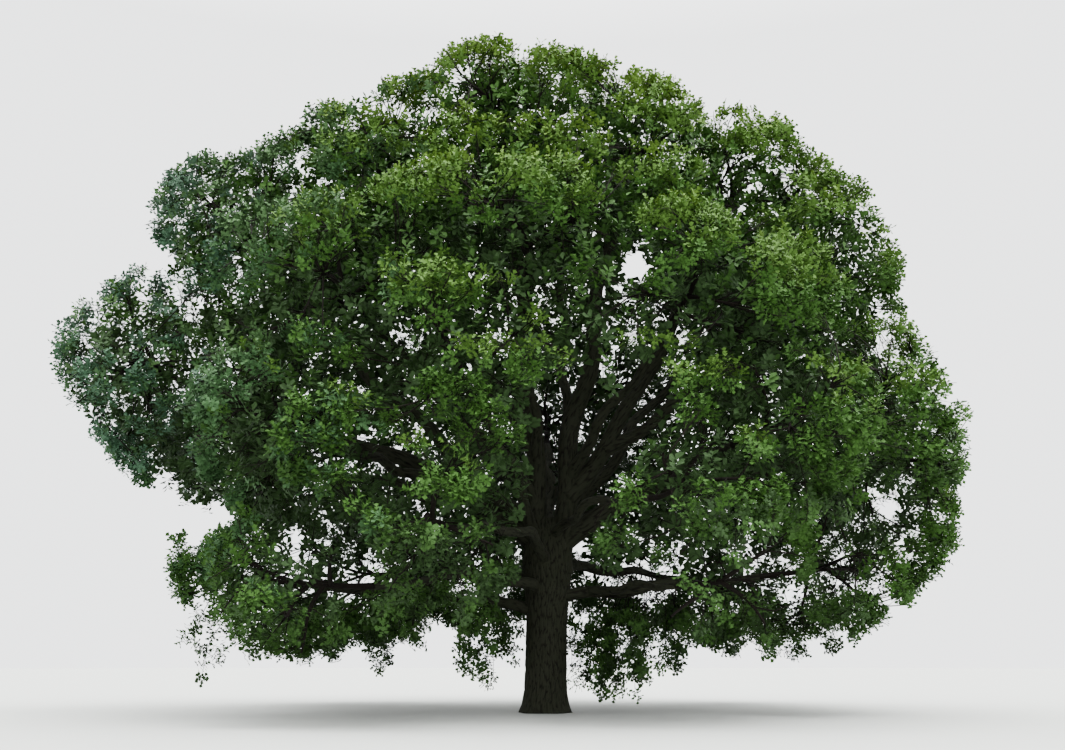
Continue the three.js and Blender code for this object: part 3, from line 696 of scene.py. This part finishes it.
def grow_clump(centre, normal, level, carriers, lobes, rng, grown):
    """A branchlet from the nearest shoot or limb, and sprays round its end, each on its own twig."""
    settings = bpy.context.scene.oak_leaves
    radius = SHADED_CLUMPS.radius
    if not level:
        radius = CLUMPS.radius * rng.uniform(1 - CLUMPS.spread, 1 + CLUMPS.spread)
    away = np.linalg.norm(carriers - centre, axis=2)
    carrier, step = np.unravel_index(away.argmin(), away.shape)
    step = max(1, step - 2)  # it leaves a little before the nearest point, and grows forward
    root = carriers[carrier, step]
    along = unit(root - carriers[carrier, step - 1])
    span = np.linalg.norm(centre - root)
    control = root + along * span * BRANCHLETS.handle + rng.normal(0, BRANCHLETS.crook * span, 3)
    line = [root, control, centre, centre + normal * radius * BRANCHLETS.past]
    branchlet = bezier(line, np.linspace(0, 1, BRANCHLET_POINTS))
    before_limb = in_view(branchlet, LIMB_VIEWS) & (branchlet[:, 1] < BRANCHLETS.before_limb)
    outside = depth_inside(branchlet) < 0
    across_gap = in_view(branchlet[1:], SKY_GAPS)
    if (before_limb | outside).any() or across_gap.any() or not off_limbs(branchlet[2:]).all():
        return

    axis = unit(normal * (1 - CLUMPS.up) + UP * CLUMPS.up)
    sideways = unit(np.cross(axis, ASKEW.clump))
    basis = (axis, sideways, np.cross(axis, sideways))
    count = settings.inner_sprays if level else settings.sprays
    turns = even_directions(basis, count, -1 if level else SPRAYS.innermost, 2 * math.pi * rng.random())
    spans = radius * rng.uniform(*SPRAYS.reach, count)
    places = centre + turns * spans[:, None] * np.array((1, 1, CLUMPS.flat))
    kept = free_places(places)
    depths = depth_inside(places)
    if level:
        kept &= depths > SHADED_CLUMPS.least
    else:
        to_lobe, to_edge, above = lobe_distances(places, lobes)
        surface = np.minimum(LOBES.drop * (to_lobe / LOBES.width) ** 2, LOBES.most)
        kept &= depths > surface - SPRAYS.straggle * rng.random(count)
        kept &= (to_edge > LOBES.crease) | (depths > LOBES.crease_depth)
    # The spray's light, which picks its leaves' green: painted light on high, upward sprays and lobe tops,
    # painted shade on deep, low ones.
    light = LIGHT.turn * turns[:, 2] + LIGHT.facing * normal[2] - LIGHT.depth * depths
    light += rng.normal(0, LIGHT.by_clump)
    light += rng.normal(0, LIGHT.by_spray, count) + LIGHT.height * places[:, 2]
    light -= LIGHT.under_crown * under_crown(places)
    light += LIGHT.inner if level else LIGHT.lobe * above
    places, turns, light = places[kept], turns[kept], light[kept]
    if len(places) >= CLUMPS.fewest:
        roots = bezier(line, rng.uniform(*SPRAYS.rooted, len(places)))
        axes = unit(0.5 * turns + 0.5 * UP + rng.normal(0, SPRAYS.turn, turns.shape))
        add_sprays(grown, branchlet, GIRTHS.branchlet, roots, places, axes, light, min(level, 2))


def grow_hanging(place, drop, carriers, rng, grown):
    """A shoot that hangs from the crown's underside, with sprays strung down it."""
    root = carriers.reshape(-1, 3)[np.linalg.norm(carriers.reshape(-1, 3) - place, axis=1).argmin()]
    bottom = place + np.array((*rng.normal(0, STRUNG.sway * drop, 2), -drop))
    arch = lerp(root, place, STRUNG.bend) + UP * STRUNG.arch
    line = [root, arch, place, lerp(place, bottom, STRUNG.bend), bottom]
    shoot = bezier(line, np.linspace(0, 1, BRANCHLET_POINTS))
    count = math.ceil(drop / STRUNG.step) + 1
    shares = np.repeat(lerp(STRUNG.share_from, 1, (np.arange(count) + STRUNG.first) / count), STRUNG.cluster)
    roots = bezier(line, shares)
    places = roots + rng.normal(0, STRUNG.aside, roots.shape)
    kept = free_places(places)
    outside = depth_inside(shoot[1:2]) < STRUNG.outside
    if outside.any() or in_view(shoot[1:], SKY_GAPS).any() or not (kept.any() and off_limbs(shoot[3:]).all()):
        return
    roots, places = roots[kept], places[kept]
    axes = unit(rng.normal(0, 1, places.shape) - UP * STRUNG.down)
    # Hanging sprays get little light, so their leaves are painted in shade.
    light = rng.normal(*STRUNG.light, len(places))
    add_sprays(grown, shoot, GIRTHS.hanging, roots, places, axes, light, 0)


def lobe_distances(points, lobes):
    """How far each point is from its lobe's middle, from the edge between its lobe and the next, and how high
    it is above its lobe's middle."""
    away = np.linalg.norm(points[:, None] - lobes, axis=2)
    above = points[:, 2] - lobes[away.argmin(axis=1), 2]
    away.partition(1, axis=1)
    return away[:, 0], (away[:, 1] - away[:, 0]) / 2, above


def in_box(points):
    """Which points are no further out than the solids reach on any side, or only just."""
    low, high = (np.array(corner) for corner in cad_bounds)
    return ((points > low - SURFACE.past_box) & (points < high + SURFACE.past_box)).all(axis=1)


def in_view(points, openings):
    """Which points are in line with an opening, seen from where the photograph was taken."""
    eye = np.array(CAMERA.place)
    found = np.zeros(len(points), bool)
    for x, z, radius in openings:
        ray = np.array((x, 0, z)) - eye
        distance = np.linalg.norm(ray)
        offset = points - eye
        along = offset @ (ray / distance)
        away = np.linalg.norm(offset - along[:, None] * ray / distance, axis=1)
        found |= away < (radius + OPENING_MARGIN) * along / distance
    return found


@functools.cache
def limb_samples():
    """Points down the middle of the trunk and every limb, with its radius there."""
    shares = np.linspace(0, 1, LIMB_SAMPLES)
    points = [limb.point(shares) for limb in limbs().values()]
    radii = [limb.radius(shares) for limb in limbs().values()]
    heights = np.linspace(0, TRUNK.height, TRUNK_SAMPLES)
    points.append(np.array([trunk_point(height / TRUNK.height) for height in heights]))
    radii.append(trunk_radius(heights, 0))
    return np.concatenate(points), np.concatenate(radii)


def off_limbs(points):
    """Which points are clear of the bark."""
    middles, radii = limb_samples()
    away = np.linalg.norm(points[:, None] - middles, axis=2) - radii
    return away.min(axis=1) > SPRAYS.off_limb


# Leaves
# A white oak's leaf in four faces: two lobes a side, folded a little along its midrib.
# The places are along the leaf, across it and up from it, as shares of its length.
LEAF_OUTLINE = np.array([
    (0, 0, 0),
    (0.4, 0, 0.01),
    (1, 0, -0.1),
    (0.44, 0.32, 0.07),
    (0.8, 0.3, 0.02),
    (0.44, -0.32, 0.07),
    (0.8, -0.3, 0.02),
])
LEAF_FACES = np.array([(0, 1, 3), (1, 2, 4), (0, 5, 1), (1, 6, 2)])

# A leaf that only shows as shade between the others: one lobe a side, where an oak leaf's widest lobes are.
SHADED_OUTLINE = np.array([(0, 0, 0.03), (0.55, 0.32, 0.04), (1, 0, -0.05), (0.76, -0.3, 0.04)])
SHADED_FACES = np.array([(0, 2, 1), (0, 3, 2)])

# Lit and shaded copies of one green, from painted shade to painted full light, then two pairs that are cooler
# and cooler with a painted bluish haze, each pair a shaded and a sunlit copy.
LEAF_KINDS = ("shaded", "dark", "middle", "half_lit", "sunlit", "cool", "cool_sunlit", "bluish", "bluish_sunlit")
FIRST_COOL = LEAF_KINDS.index("cool")
# The shares of the outer sprays, and of those in the first shade, with no more light than each kind's.
OUTER_SHARES = (0.06, 0.25, 0.54, 0.82)
INNER_SHARES = (0.45, 0.78)


def dealt(sprays, rng):
    """Each spray's kind of leaf, as a place in LEAF_KINDS, which paints its light and shade: more light, a
    lighter green. The crown turns cooler towards the left, a painted bluish haze.
    """
    light, level = sprays[:, 6], sprays[:, 7]
    kinds = np.searchsorted(np.quantile(light[level == 0], OUTER_SHARES), light)
    cooler = COOLER.most * smoothstep(-sprays[:, 0], *COOLER.left) * smoothstep(sprays[:, 2], *COOLER.height)
    coolness = (cooler + rng.random(len(sprays))).astype(int)
    cool_kinds = FIRST_COOL + 2 * (coolness - 1) + (kinds > LEAF_KINDS.index("middle"))
    kinds = np.where((coolness > 0) & (kinds > 0), cool_kinds, kinds)
    # The first shade runs from painted shade to middle by its light, and deeper in every spray is painted
    # shade.
    lighter = np.searchsorted(np.quantile(light[level == 1], INNER_SHARES), light)
    kinds[level == 1] = lighter[level == 1]
    kinds[level == 2] = 0
    return kinds


def leaf_mesh(sprays, rng):
    """The leaves of many sprays: each spray is a whorl of leaves that fan out round its axis."""
    settings = bpy.context.scene.oak_leaves
    levels = (
        (settings.leaves, settings.length, LEAF_OUTLINE, LEAF_FACES),
        (settings.inner_leaves, settings.inner_length, SHADED_OUTLINE, SHADED_FACES),
        (settings.core_leaves, settings.core_length, SHADED_OUTLINE, SHADED_FACES),
    )
    parts = []
    for level, (count, length, outline, leaf_faces) in enumerate(levels):
        chosen = sprays[sprays[:, 7] == level]
        if not len(chosen):
            continue
        places = np.repeat(chosen[:, :3], count, axis=0)
        axes = np.repeat(chosen[:, 3:6], count, axis=0)
        order = np.tile(np.arange(count), len(chosen))
        spin = np.repeat(rng.uniform(0, 2 * math.pi, len(chosen)), count)
        angle = spin + order * GOLDEN_ANGLE + rng.normal(0, WHORL.turn_spread, len(order))
        fan = np.radians(lerp(*WHORL.fan, np.sqrt((order + 0.5) / count)))
        fan += rng.normal(0, WHORL.fan_spread, len(order))
        sideways = unit(np.cross(axes, ASKEW.spray))
        across = np.cross(axes, sideways)
        out = sideways * np.cos(angle)[:, None] + across * np.sin(angle)[:, None]
        along = unit(axes * np.cos(fan)[:, None] + out * np.sin(fan)[:, None])
        normal = unit(axes - along * (axes * along).sum(axis=1, keepdims=True))
        normal = unit(normal + rng.normal(0, WHORL.tilt, normal.shape))
        side = unit(np.cross(normal, along))
        normal = np.cross(along, side)
        size = length * rng.uniform(*WHORL.sizes, len(order))
        roots = places - axes * (order * WHORL.down)[:, None] + along * WHORL.out
        frames = np.stack([along, side, normal], axis=1) * size[:, None, None]
        vertices = roots[:, None] + np.einsum("vk,nkd->nvd", outline, frames)
        faces = leaf_faces + len(outline) * np.arange(len(order))[:, None, None]
        parts.append((vertices.reshape(-1, 3), faces.reshape(-1, 3)))
    return joined(parts)


# Materials
def linear(hex_colour):
    """An sRGB hex colour as the linear RGBA that the shaders take."""
    channels = [int(hex_colour[k : k + 2], 16) / 255 for k in (1, 3, 5)]
    return (*[c / 12.92 if c <= 0.04045 else ((c + 0.055) / 1.055) ** 2.4 for c in channels], 1.0)


def add_node(tree, kind, settings=None, **inputs):
    """A node with its settings, and its inputs set to values or linked from other nodes' outputs.
    An input is given by its name, or as i and its number where nodes share a name between inputs."""
    node = tree.nodes.new(kind)
    for key, value in (settings or {}).items():
        setattr(node, key, value)
    for key, value in inputs.items():
        numbered = key[0] == "i" and key[1:].isdigit()
        socket = node.inputs[int(key[1:]) if numbered else key.replace("_", " ")]
        if isinstance(value, bpy.types.NodeSocket):
            tree.links.new(value, socket)
        else:
            socket.default_value = value
    return node


def new_material(name):
    """A material and its empty node tree."""
    material = bpy.data.materials.new(name)
    material.use_nodes = True
    material.node_tree.nodes.clear()
    return material, material.node_tree


def patches(tree, size, detail, **inputs):
    """A pattern of soft patches that stays on the object, each about size metres across."""
    place = add_node(tree, "ShaderNodeTexCoord").outputs["Object"]
    noise = add_node(tree, "ShaderNodeTexNoise", Vector=place, Scale=1 / size, Detail=detail, **inputs)
    return noise.outputs["Fac"]


def ramped(tree, pattern, low, high):
    """A blend between two colours, each at its own value of the pattern."""
    ramp = add_node(tree, "ShaderNodeValToRGB", Fac=pattern)
    for element, (position, colour) in zip(ramp.color_ramp.elements, (low, high)):
        element.position = position
        element.color = (*colour, 1)
    return ramp.outputs["Color"]


def mottled(tree, pattern, colour, spread):
    """A colour that the pattern makes a little darker and lighter."""
    value = add_node(tree, "ShaderNodeMapRange", Value=pattern, To_Min=1 - spread, To_Max=1 + spread)
    shade = add_node(tree, "ShaderNodeHueSaturation", Color=(*colour, 1), Value=value.outputs["Result"])
    return shade.outputs["Color"]


def raised(tree, pattern, strength, height):
    """The pattern as a relief, up to height metres."""
    bump = add_node(tree, "ShaderNodeBump", Height=pattern, Strength=strength, Distance=height)
    return bump.outputs["Normal"]


def finish_material(tree, **inputs):
    """The surface, and the output that every material here ends in."""
    shader = add_node(tree, "ShaderNodeBsdfPrincipled", **inputs)
    add_node(tree, "ShaderNodeOutputMaterial", Surface=shader.outputs["BSDF"])


def oak_bark_material(settings):
    """Weathered oak bark: dead cork plates with lichen on top, painted nearly black for the crown's shadow
    over trunk and boughs, and darker still down in the furrows, partly the bark's own colour and partly
    painted shade.
    """
    material, tree = new_material("weathered_oak_bark")
    grain = patches(tree, 0.06, 5.0, Roughness=0.65)
    relief = add_node(tree, "ShaderNodeAttribute", {"attribute_name": "relief"}).outputs["Fac"]
    height = add_node(tree, "ShaderNodeMath", {"operation": "MULTIPLY_ADD"}, i0=grain, i1=0.5, i2=relief)
    # Darker down in the furrows: partly the bark's own colour, partly painted shade.
    cork = ramped(tree, height.outputs[0], (0.35, settings.furrow), (5 / 6, settings.plate))
    # Lichen greens it in patches about a metre across.
    lichen = add_node(tree, "ShaderNodeMix", {"data_type": "RGBA", "blend_type": "MULTIPLY"}, Factor=1.0,
                      i6=cork, i7=(0.82, 0.9, 0.74, 1))
    tint = add_node(tree, "ShaderNodeMix", {"data_type": "RGBA"}, Factor=patches(tree, 0.9, 2.0), i6=cork,
                    i7=lichen.outputs[2])
    finish_material(tree, Base_Color=tint.outputs[2], Roughness=0.92, Specular_IOR_Level=0.1,
                    Normal=raised(tree, grain, 0.7, 0.02))
    return material


def twig_material(settings):
    """Young oak twigs: thin smooth bark with pale breathing pores, so plainer than the limbs; their brown-grey
    is painted nearly black for the crown's shade.
    """
    material, tree = new_material("smooth_twig_bark")
    pores = patches(tree, 0.05, 3.0)
    finish_material(tree, Base_Color=ramped(tree, pores, (0.3, settings.furrow), (0.75, settings.twig)),
                    Roughness=0.9, Specular_IOR_Level=0.08, Normal=raised(tree, pores, 0.4, 0.004))
    return material


def leaf_material(name, colour):
    """Oak leaf: a waxy cuticle over green tissue, which gives a soft satin sheen and a slight mottle. Its
    green is one kind's painted light and shade.
    """
    material, tree = new_material(name)
    mottle = patches(tree, 0.35, 2.0)
    finish_material(tree, Base_Color=mottled(tree, mottle, colour, 0.25), Roughness=0.65,
                    Specular_IOR_Level=0.1, Normal=raised(tree, mottle, 0.25, 0.02))
    return material


# Settings that a user would change
def colour_property(name, description, hex_colour):
    return FloatVectorProperty(name=name, description=description, subtype="COLOR", size=3, min=0, max=1,
                               default=linear(hex_colour)[:3])


def length_property(name, description, default):
    return FloatProperty(name=name, description=description, default=default, unit="LENGTH")


def count_property(name, description, default):
    return IntProperty(name=name, description=description, default=default, min=1)


def number_property(name, description, default):
    return FloatProperty(name=name, description=description, default=default)


class OakBarkSettings(PropertyGroup):
    plate_width: length_property("Plate width", "Width of the bark's plates", 0.075)
    plate_length: length_property("Plate length", "Length of the bark's plates", 0.5)
    depth: length_property("Furrow depth", "Depth of the furrows on the trunk", 0.045)
    # The plates and the twigs are painted nearly black for the crown's shadow over them; the furrows are
    # darker still, partly the bark's own colour and partly painted shade.
    plate: colour_property("Plates", "Colour of the plates' weathered tops", "#26271F")
    twig: colour_property("Twigs", "Colour of the twigs", "#191511")
    furrow: colour_property("Furrows", "Colour down in the furrows", "#0A0807")


class OakLeafSettings(PropertyGroup):
    sprays: count_property("Sprays", "Sprays in each clump", 19)
    leaves: count_property("Leaves", "Leaves in each outer spray", 11)
    length: length_property("Leaf length", "Length of an outer leaf", 0.235)
    inner_sprays: count_property("Inner sprays", "Sprays in each shaded clump", 8)
    inner_leaves: count_property("Inner leaves", "Leaves in each shaded spray", 12)
    inner_length: length_property("Inner leaf length", "Length of a shaded leaf", 0.265)
    core_leaves: count_property("Core leaves", "Leaves in each spray deep inside", 7)
    core_length: length_property("Core leaf length", "Length of a leaf deep inside", 0.41)
    # Lit and shaded copies of one green, dealt by a spray's light and not by the leaves' age: painted shade in
    # shaded and dark, then middle, then painted light in half lit and sunlit.
    sunlit: colour_property("Sunlit", "Young leaves at the tips, in full light", "#4B6525")
    half_lit: colour_property("Fresh", "Outer leaves", "#3D5821")
    middle: colour_property("Middle", "Leaves of the season", "#2D491A")
    dark: colour_property("Dark", "Older leaves", "#29421A")
    # The cool and bluish pairs carry a painted bluish haze, not a bloom or age of the leaves, each with a
    # sunlit copy in painted light.
    cool: colour_property("Cool", "Older leaves, a little bluish", "#2E4829")
    cool_sunlit: colour_property("Cool sunlit", "Outer leaves, a little bluish", "#395230")
    bluish: colour_property("Bluish", "Older leaves with a bluish bloom", "#314B37")
    bluish_sunlit: colour_property("Bluish sunlit", "Outer leaves with a bluish bloom", "#374D3C")
    shaded: colour_property("Shaded", "Leaves inside the crown", "#223519")


class OakStageSettings(PropertyGroup):
    floor: colour_property("Floor", "Colour of the pale floor", "#A9ABA6")
    sky: colour_property("Sky", "Colour of the soft overcast light", "#FAFCFD")
    sky_strength: number_property("Sky strength", "Strength of the overcast light", 3.2)
    overhead: number_property("Overhead", "How much brighter the sky is overhead", 3.9)
    sun_strength: number_property("Sun strength", "Strength of the veiled sun", 3.6)


# Pieces
class OAK_OT_grow_trunk(Operator):
    """Build the trunk with its furrowed bark, root flare and swelling under the fork"""

    bl_idname = "oak.grow_trunk"
    bl_label = "Grow trunk"

    def execute(self, context):
        settings = context.scene.oak_bark
        sides = TRUNK_BARK.sides
        heights = np.linspace(0, TRUNK.height, TRUNK_BARK.rings)
        angles = np.arange(sides) * 2 * math.pi / sides
        centres = np.stack([TRUNK.lean * heights, 0 * heights, heights], axis=1)
        radii = trunk_radius(heights[:, None], angles)
        columns = round(2 * math.pi * TRUNK.shaft / settings.plate_width)
        depth = np.full(TRUNK_BARK.rings, settings.depth)
        vertices, faces, relief = bark_tube(centres, radii, sides, columns, settings.plate_length, depth,
                                            TRUNK_BARK.seed)
        vertices[:sides, 2] = 0  # the flat cut at the ground
        vertices[:, 2] = np.clip(vertices[:, 2], 0, None)
        piece = add_piece("trunk_bark", vertices, faces, bark(), nodes=["trunk"])
        add_relief(piece, relief)
        return {"FINISHED"}


class OAK_OT_grow_boughs(Operator):
    """Build the three stems and the boughs with their bark"""

    bl_idname = "oak.grow_boughs"
    bl_label = "Grow boughs"

    def execute(self, context):
        settings = context.scene.oak_bark
        parts, reliefs = [], []
        for seed, limb in enumerate(limbs().values()):
            shares = np.linspace(0, 1, round(limb.length / BOUGH_BARK.ring_step))
            girth = 2 * math.pi * limb.radius(BOUGH_BARK.girth_at)
            sides = even(girth / BOUGH_BARK.side_step)
            columns = max(BOUGH_BARK.fewest_columns, round(girth / settings.plate_width))
            radii = limb.radius(shares)
            depth = np.minimum(settings.depth, BOUGH_BARK.depth * radii)
            vertices, faces, relief = bark_tube(limb.point(shares), radii[:, None] + np.zeros(sides), sides,
                                                columns, settings.plate_length, depth, BOUGH_BARK.seed + seed)
            parts.append((vertices, faces))
            reliefs.append(relief)
        vertices, faces = joined(parts)
        piece = add_piece("bough_bark", vertices, faces, bark(), nodes=list(limbs()))
        add_relief(piece, np.concatenate(reliefs))
        return {"FINISHED"}


class OAK_OT_grow_branches(Operator):
    """Build the stems, shoots and branchlets that carry each mass of foliage"""

    bl_idname = "oak.grow_branches"
    bl_label = "Grow branches"

    def execute(self, context):
        grown = crown()
        parts = []
        for lines, sides in ((grown.stems, 8), (grown.shoots, 6), (grown.branchlets, 3)):
            points, radii = (np.array(each) for each in zip(*lines))
            parts.append(tubes(points, radii, sides))
        vertices, faces = joined(parts)
        add_piece("branch_bark", vertices, faces, twig_bark(), nodes=leaf_nodes())
        return {"FINISHED"}


class OAK_OT_grow_twigs(Operator):
    """Build the twigs, one to each spray of leaves"""

    bl_idname = "oak.grow_twigs"
    bl_label = "Grow twigs"

    def execute(self, context):
        lines = np.concatenate(crown().twigs)
        vertices, faces = tubes(lines, np.tile(GIRTHS.twig, (len(lines), 1)), sides=3)
        add_piece("twig_bark", vertices, faces, twig_bark(), nodes=leaf_nodes())
        return {"FINISHED"}


class OAK_OT_grow_leaves(Operator):
    """Build the leaves, with each spray dealt to one of nine greens of painted light and shade by its light
    and its place
    """

    bl_idname = "oak.grow_leaves"
    bl_label = "Grow leaves"

    def execute(self, context):
        settings = context.scene.oak_leaves
        sprays = np.concatenate(crown().sprays)
        rng = np.random.default_rng(LEAF_SEED)
        kinds = dealt(sprays, rng)
        for kind, name in enumerate(LEAF_KINDS):
            vertices, faces = leaf_mesh(sprays[kinds == kind], rng)
            material = leaf_material("oak_leaf_" + name, getattr(settings, name))
            add_piece("leaves_" + name, vertices, faces, material, smooth=False,
                      nodes=leaf_nodes())
        return {"FINISHED"}


class OAK_OT_set_stage(Operator):
    """Set the pale floor, the soft overcast light and the camera at the photograph's viewing angle"""

    bl_idname = "oak.set_stage"
    bl_label = "Set stage"

    def execute(self, context):
        settings = context.scene.oak_stage
        add_floor(settings)
        add_lights(context.scene, settings)
        add_camera(context.scene)
        return {"FINISHED"}


def bark():
    return bpy.data.materials.get("weathered_oak_bark") or oak_bark_material(bpy.context.scene.oak_bark)


def twig_bark():
    return bpy.data.materials.get("smooth_twig_bark") or twig_material(bpy.context.scene.oak_bark)


def leaf_nodes():
    return [mass.name + "_leaves" for mass in MASSES]


def add_floor(settings):
    """A wide pale disc, with a faint even grain like fine plaster."""
    angles = np.linspace(0, 2 * math.pi, FLOOR.sides, endpoint=False)
    rim = np.column_stack([np.cos(angles) * FLOOR.radius, np.sin(angles) * FLOOR.radius, 0 * angles])
    mesh = bpy.data.meshes.new("floor")
    mesh.from_pydata(rim.tolist(), [], [tuple(range(len(rim)))])
    material, tree = new_material("pale_plaster_floor")
    grain = patches(tree, 0.8, 3.0)
    finish_material(tree, Base_Color=mottled(tree, grain, settings.floor, 0.03), Roughness=0.9)
    mesh.materials.append(material)
    floor = bpy.data.objects.new("floor", mesh)
    floor.location.z = FLOOR.height
    bpy.context.scene.collection.objects.link(floor)


def add_lights(scene, settings):
    """An overcast sky, brighter overhead than at the horizon, and the veiled sun high on the right."""
    world = bpy.data.worlds.new("overcast")
    world.use_nodes = True
    tree = world.node_tree
    tree.nodes.clear()
    way = add_node(tree, "ShaderNodeTexCoord").outputs["Generated"]
    height = add_node(tree, "ShaderNodeSeparateXYZ", Vector=way).outputs["Z"]
    strength = add_node(tree, "ShaderNodeMapRange", Value=height, From_Min=0.5, From_Max=1.0,
                        To_Min=settings.sky_strength, To_Max=settings.sky_strength * settings.overhead)
    background = add_node(tree, "ShaderNodeBackground", Color=(*settings.sky, 1),
                          Strength=strength.outputs["Result"])
    add_node(tree, "ShaderNodeOutputWorld", Surface=background.outputs["Background"])
    scene.world = world
    lamp = bpy.data.lights.new("veiled_sun", "SUN")
    lamp.energy = settings.sun_strength
    lamp.angle = SUN.width
    sun = bpy.data.objects.new("veiled_sun", lamp)
    sun.rotation_euler = (SUN.tilt, 0, SUN.turn)
    scene.collection.objects.link(sun)


def add_camera(scene):
    """The photograph's camera."""
    data = bpy.data.cameras.new("camera")
    data.sensor_width = CAMERA.sensor
    data.lens = CAMERA.focal_px / CAMERA.image_px * CAMERA.sensor
    data.clip_end = 1000
    camera = bpy.data.objects.new("camera", data)
    camera.location = CAMERA.place
    camera.rotation_euler = (math.pi / 2 + CAMERA.pitch, 0, 0)
    scene.collection.objects.link(camera)
    scene.camera = camera


OPERATORS = (
    OAK_OT_set_stage,
    OAK_OT_grow_trunk,
    OAK_OT_grow_boughs,
    OAK_OT_grow_branches,
    OAK_OT_grow_twigs,
    OAK_OT_grow_leaves,
)


class OAK_PT_panel(Panel):
    """The oak's pieces and settings"""

    bl_label = "Oak"
    bl_space_type = "VIEW_3D"
    bl_region_type = "UI"
    bl_category = "Oak"

    def draw(self, context):
        for name in ("oak_bark", "oak_leaves", "oak_stage"):
            group = getattr(context.scene, name)
            box = self.layout.box()
            for key in group.__annotations__:
                box.prop(group, key)
        for operator in OPERATORS:
            self.layout.operator(operator.bl_idname)


CLASSES = (OakBarkSettings, OakLeafSettings, OakStageSettings, *OPERATORS, OAK_PT_panel)


def register():
    for each in CLASSES:
        bpy.utils.register_class(each)
    bpy.types.Scene.oak_bark = PointerProperty(type=OakBarkSettings)
    bpy.types.Scene.oak_leaves = PointerProperty(type=OakLeafSettings)
    bpy.types.Scene.oak_stage = PointerProperty(type=OakStageSettings)


def unregister():
    del bpy.types.Scene.oak_bark
    del bpy.types.Scene.oak_leaves
    del bpy.types.Scene.oak_stage
    for each in reversed(CLASSES):
        bpy.utils.unregister_class(each)


def main():
    register()
    bpy.ops.oak.set_stage()
    bpy.ops.oak.grow_trunk()
    bpy.ops.oak.grow_boughs()
    bpy.ops.oak.grow_branches()
    bpy.ops.oak.grow_twigs()
    bpy.ops.oak.grow_leaves()


if __name__ == "__main__":
    main()
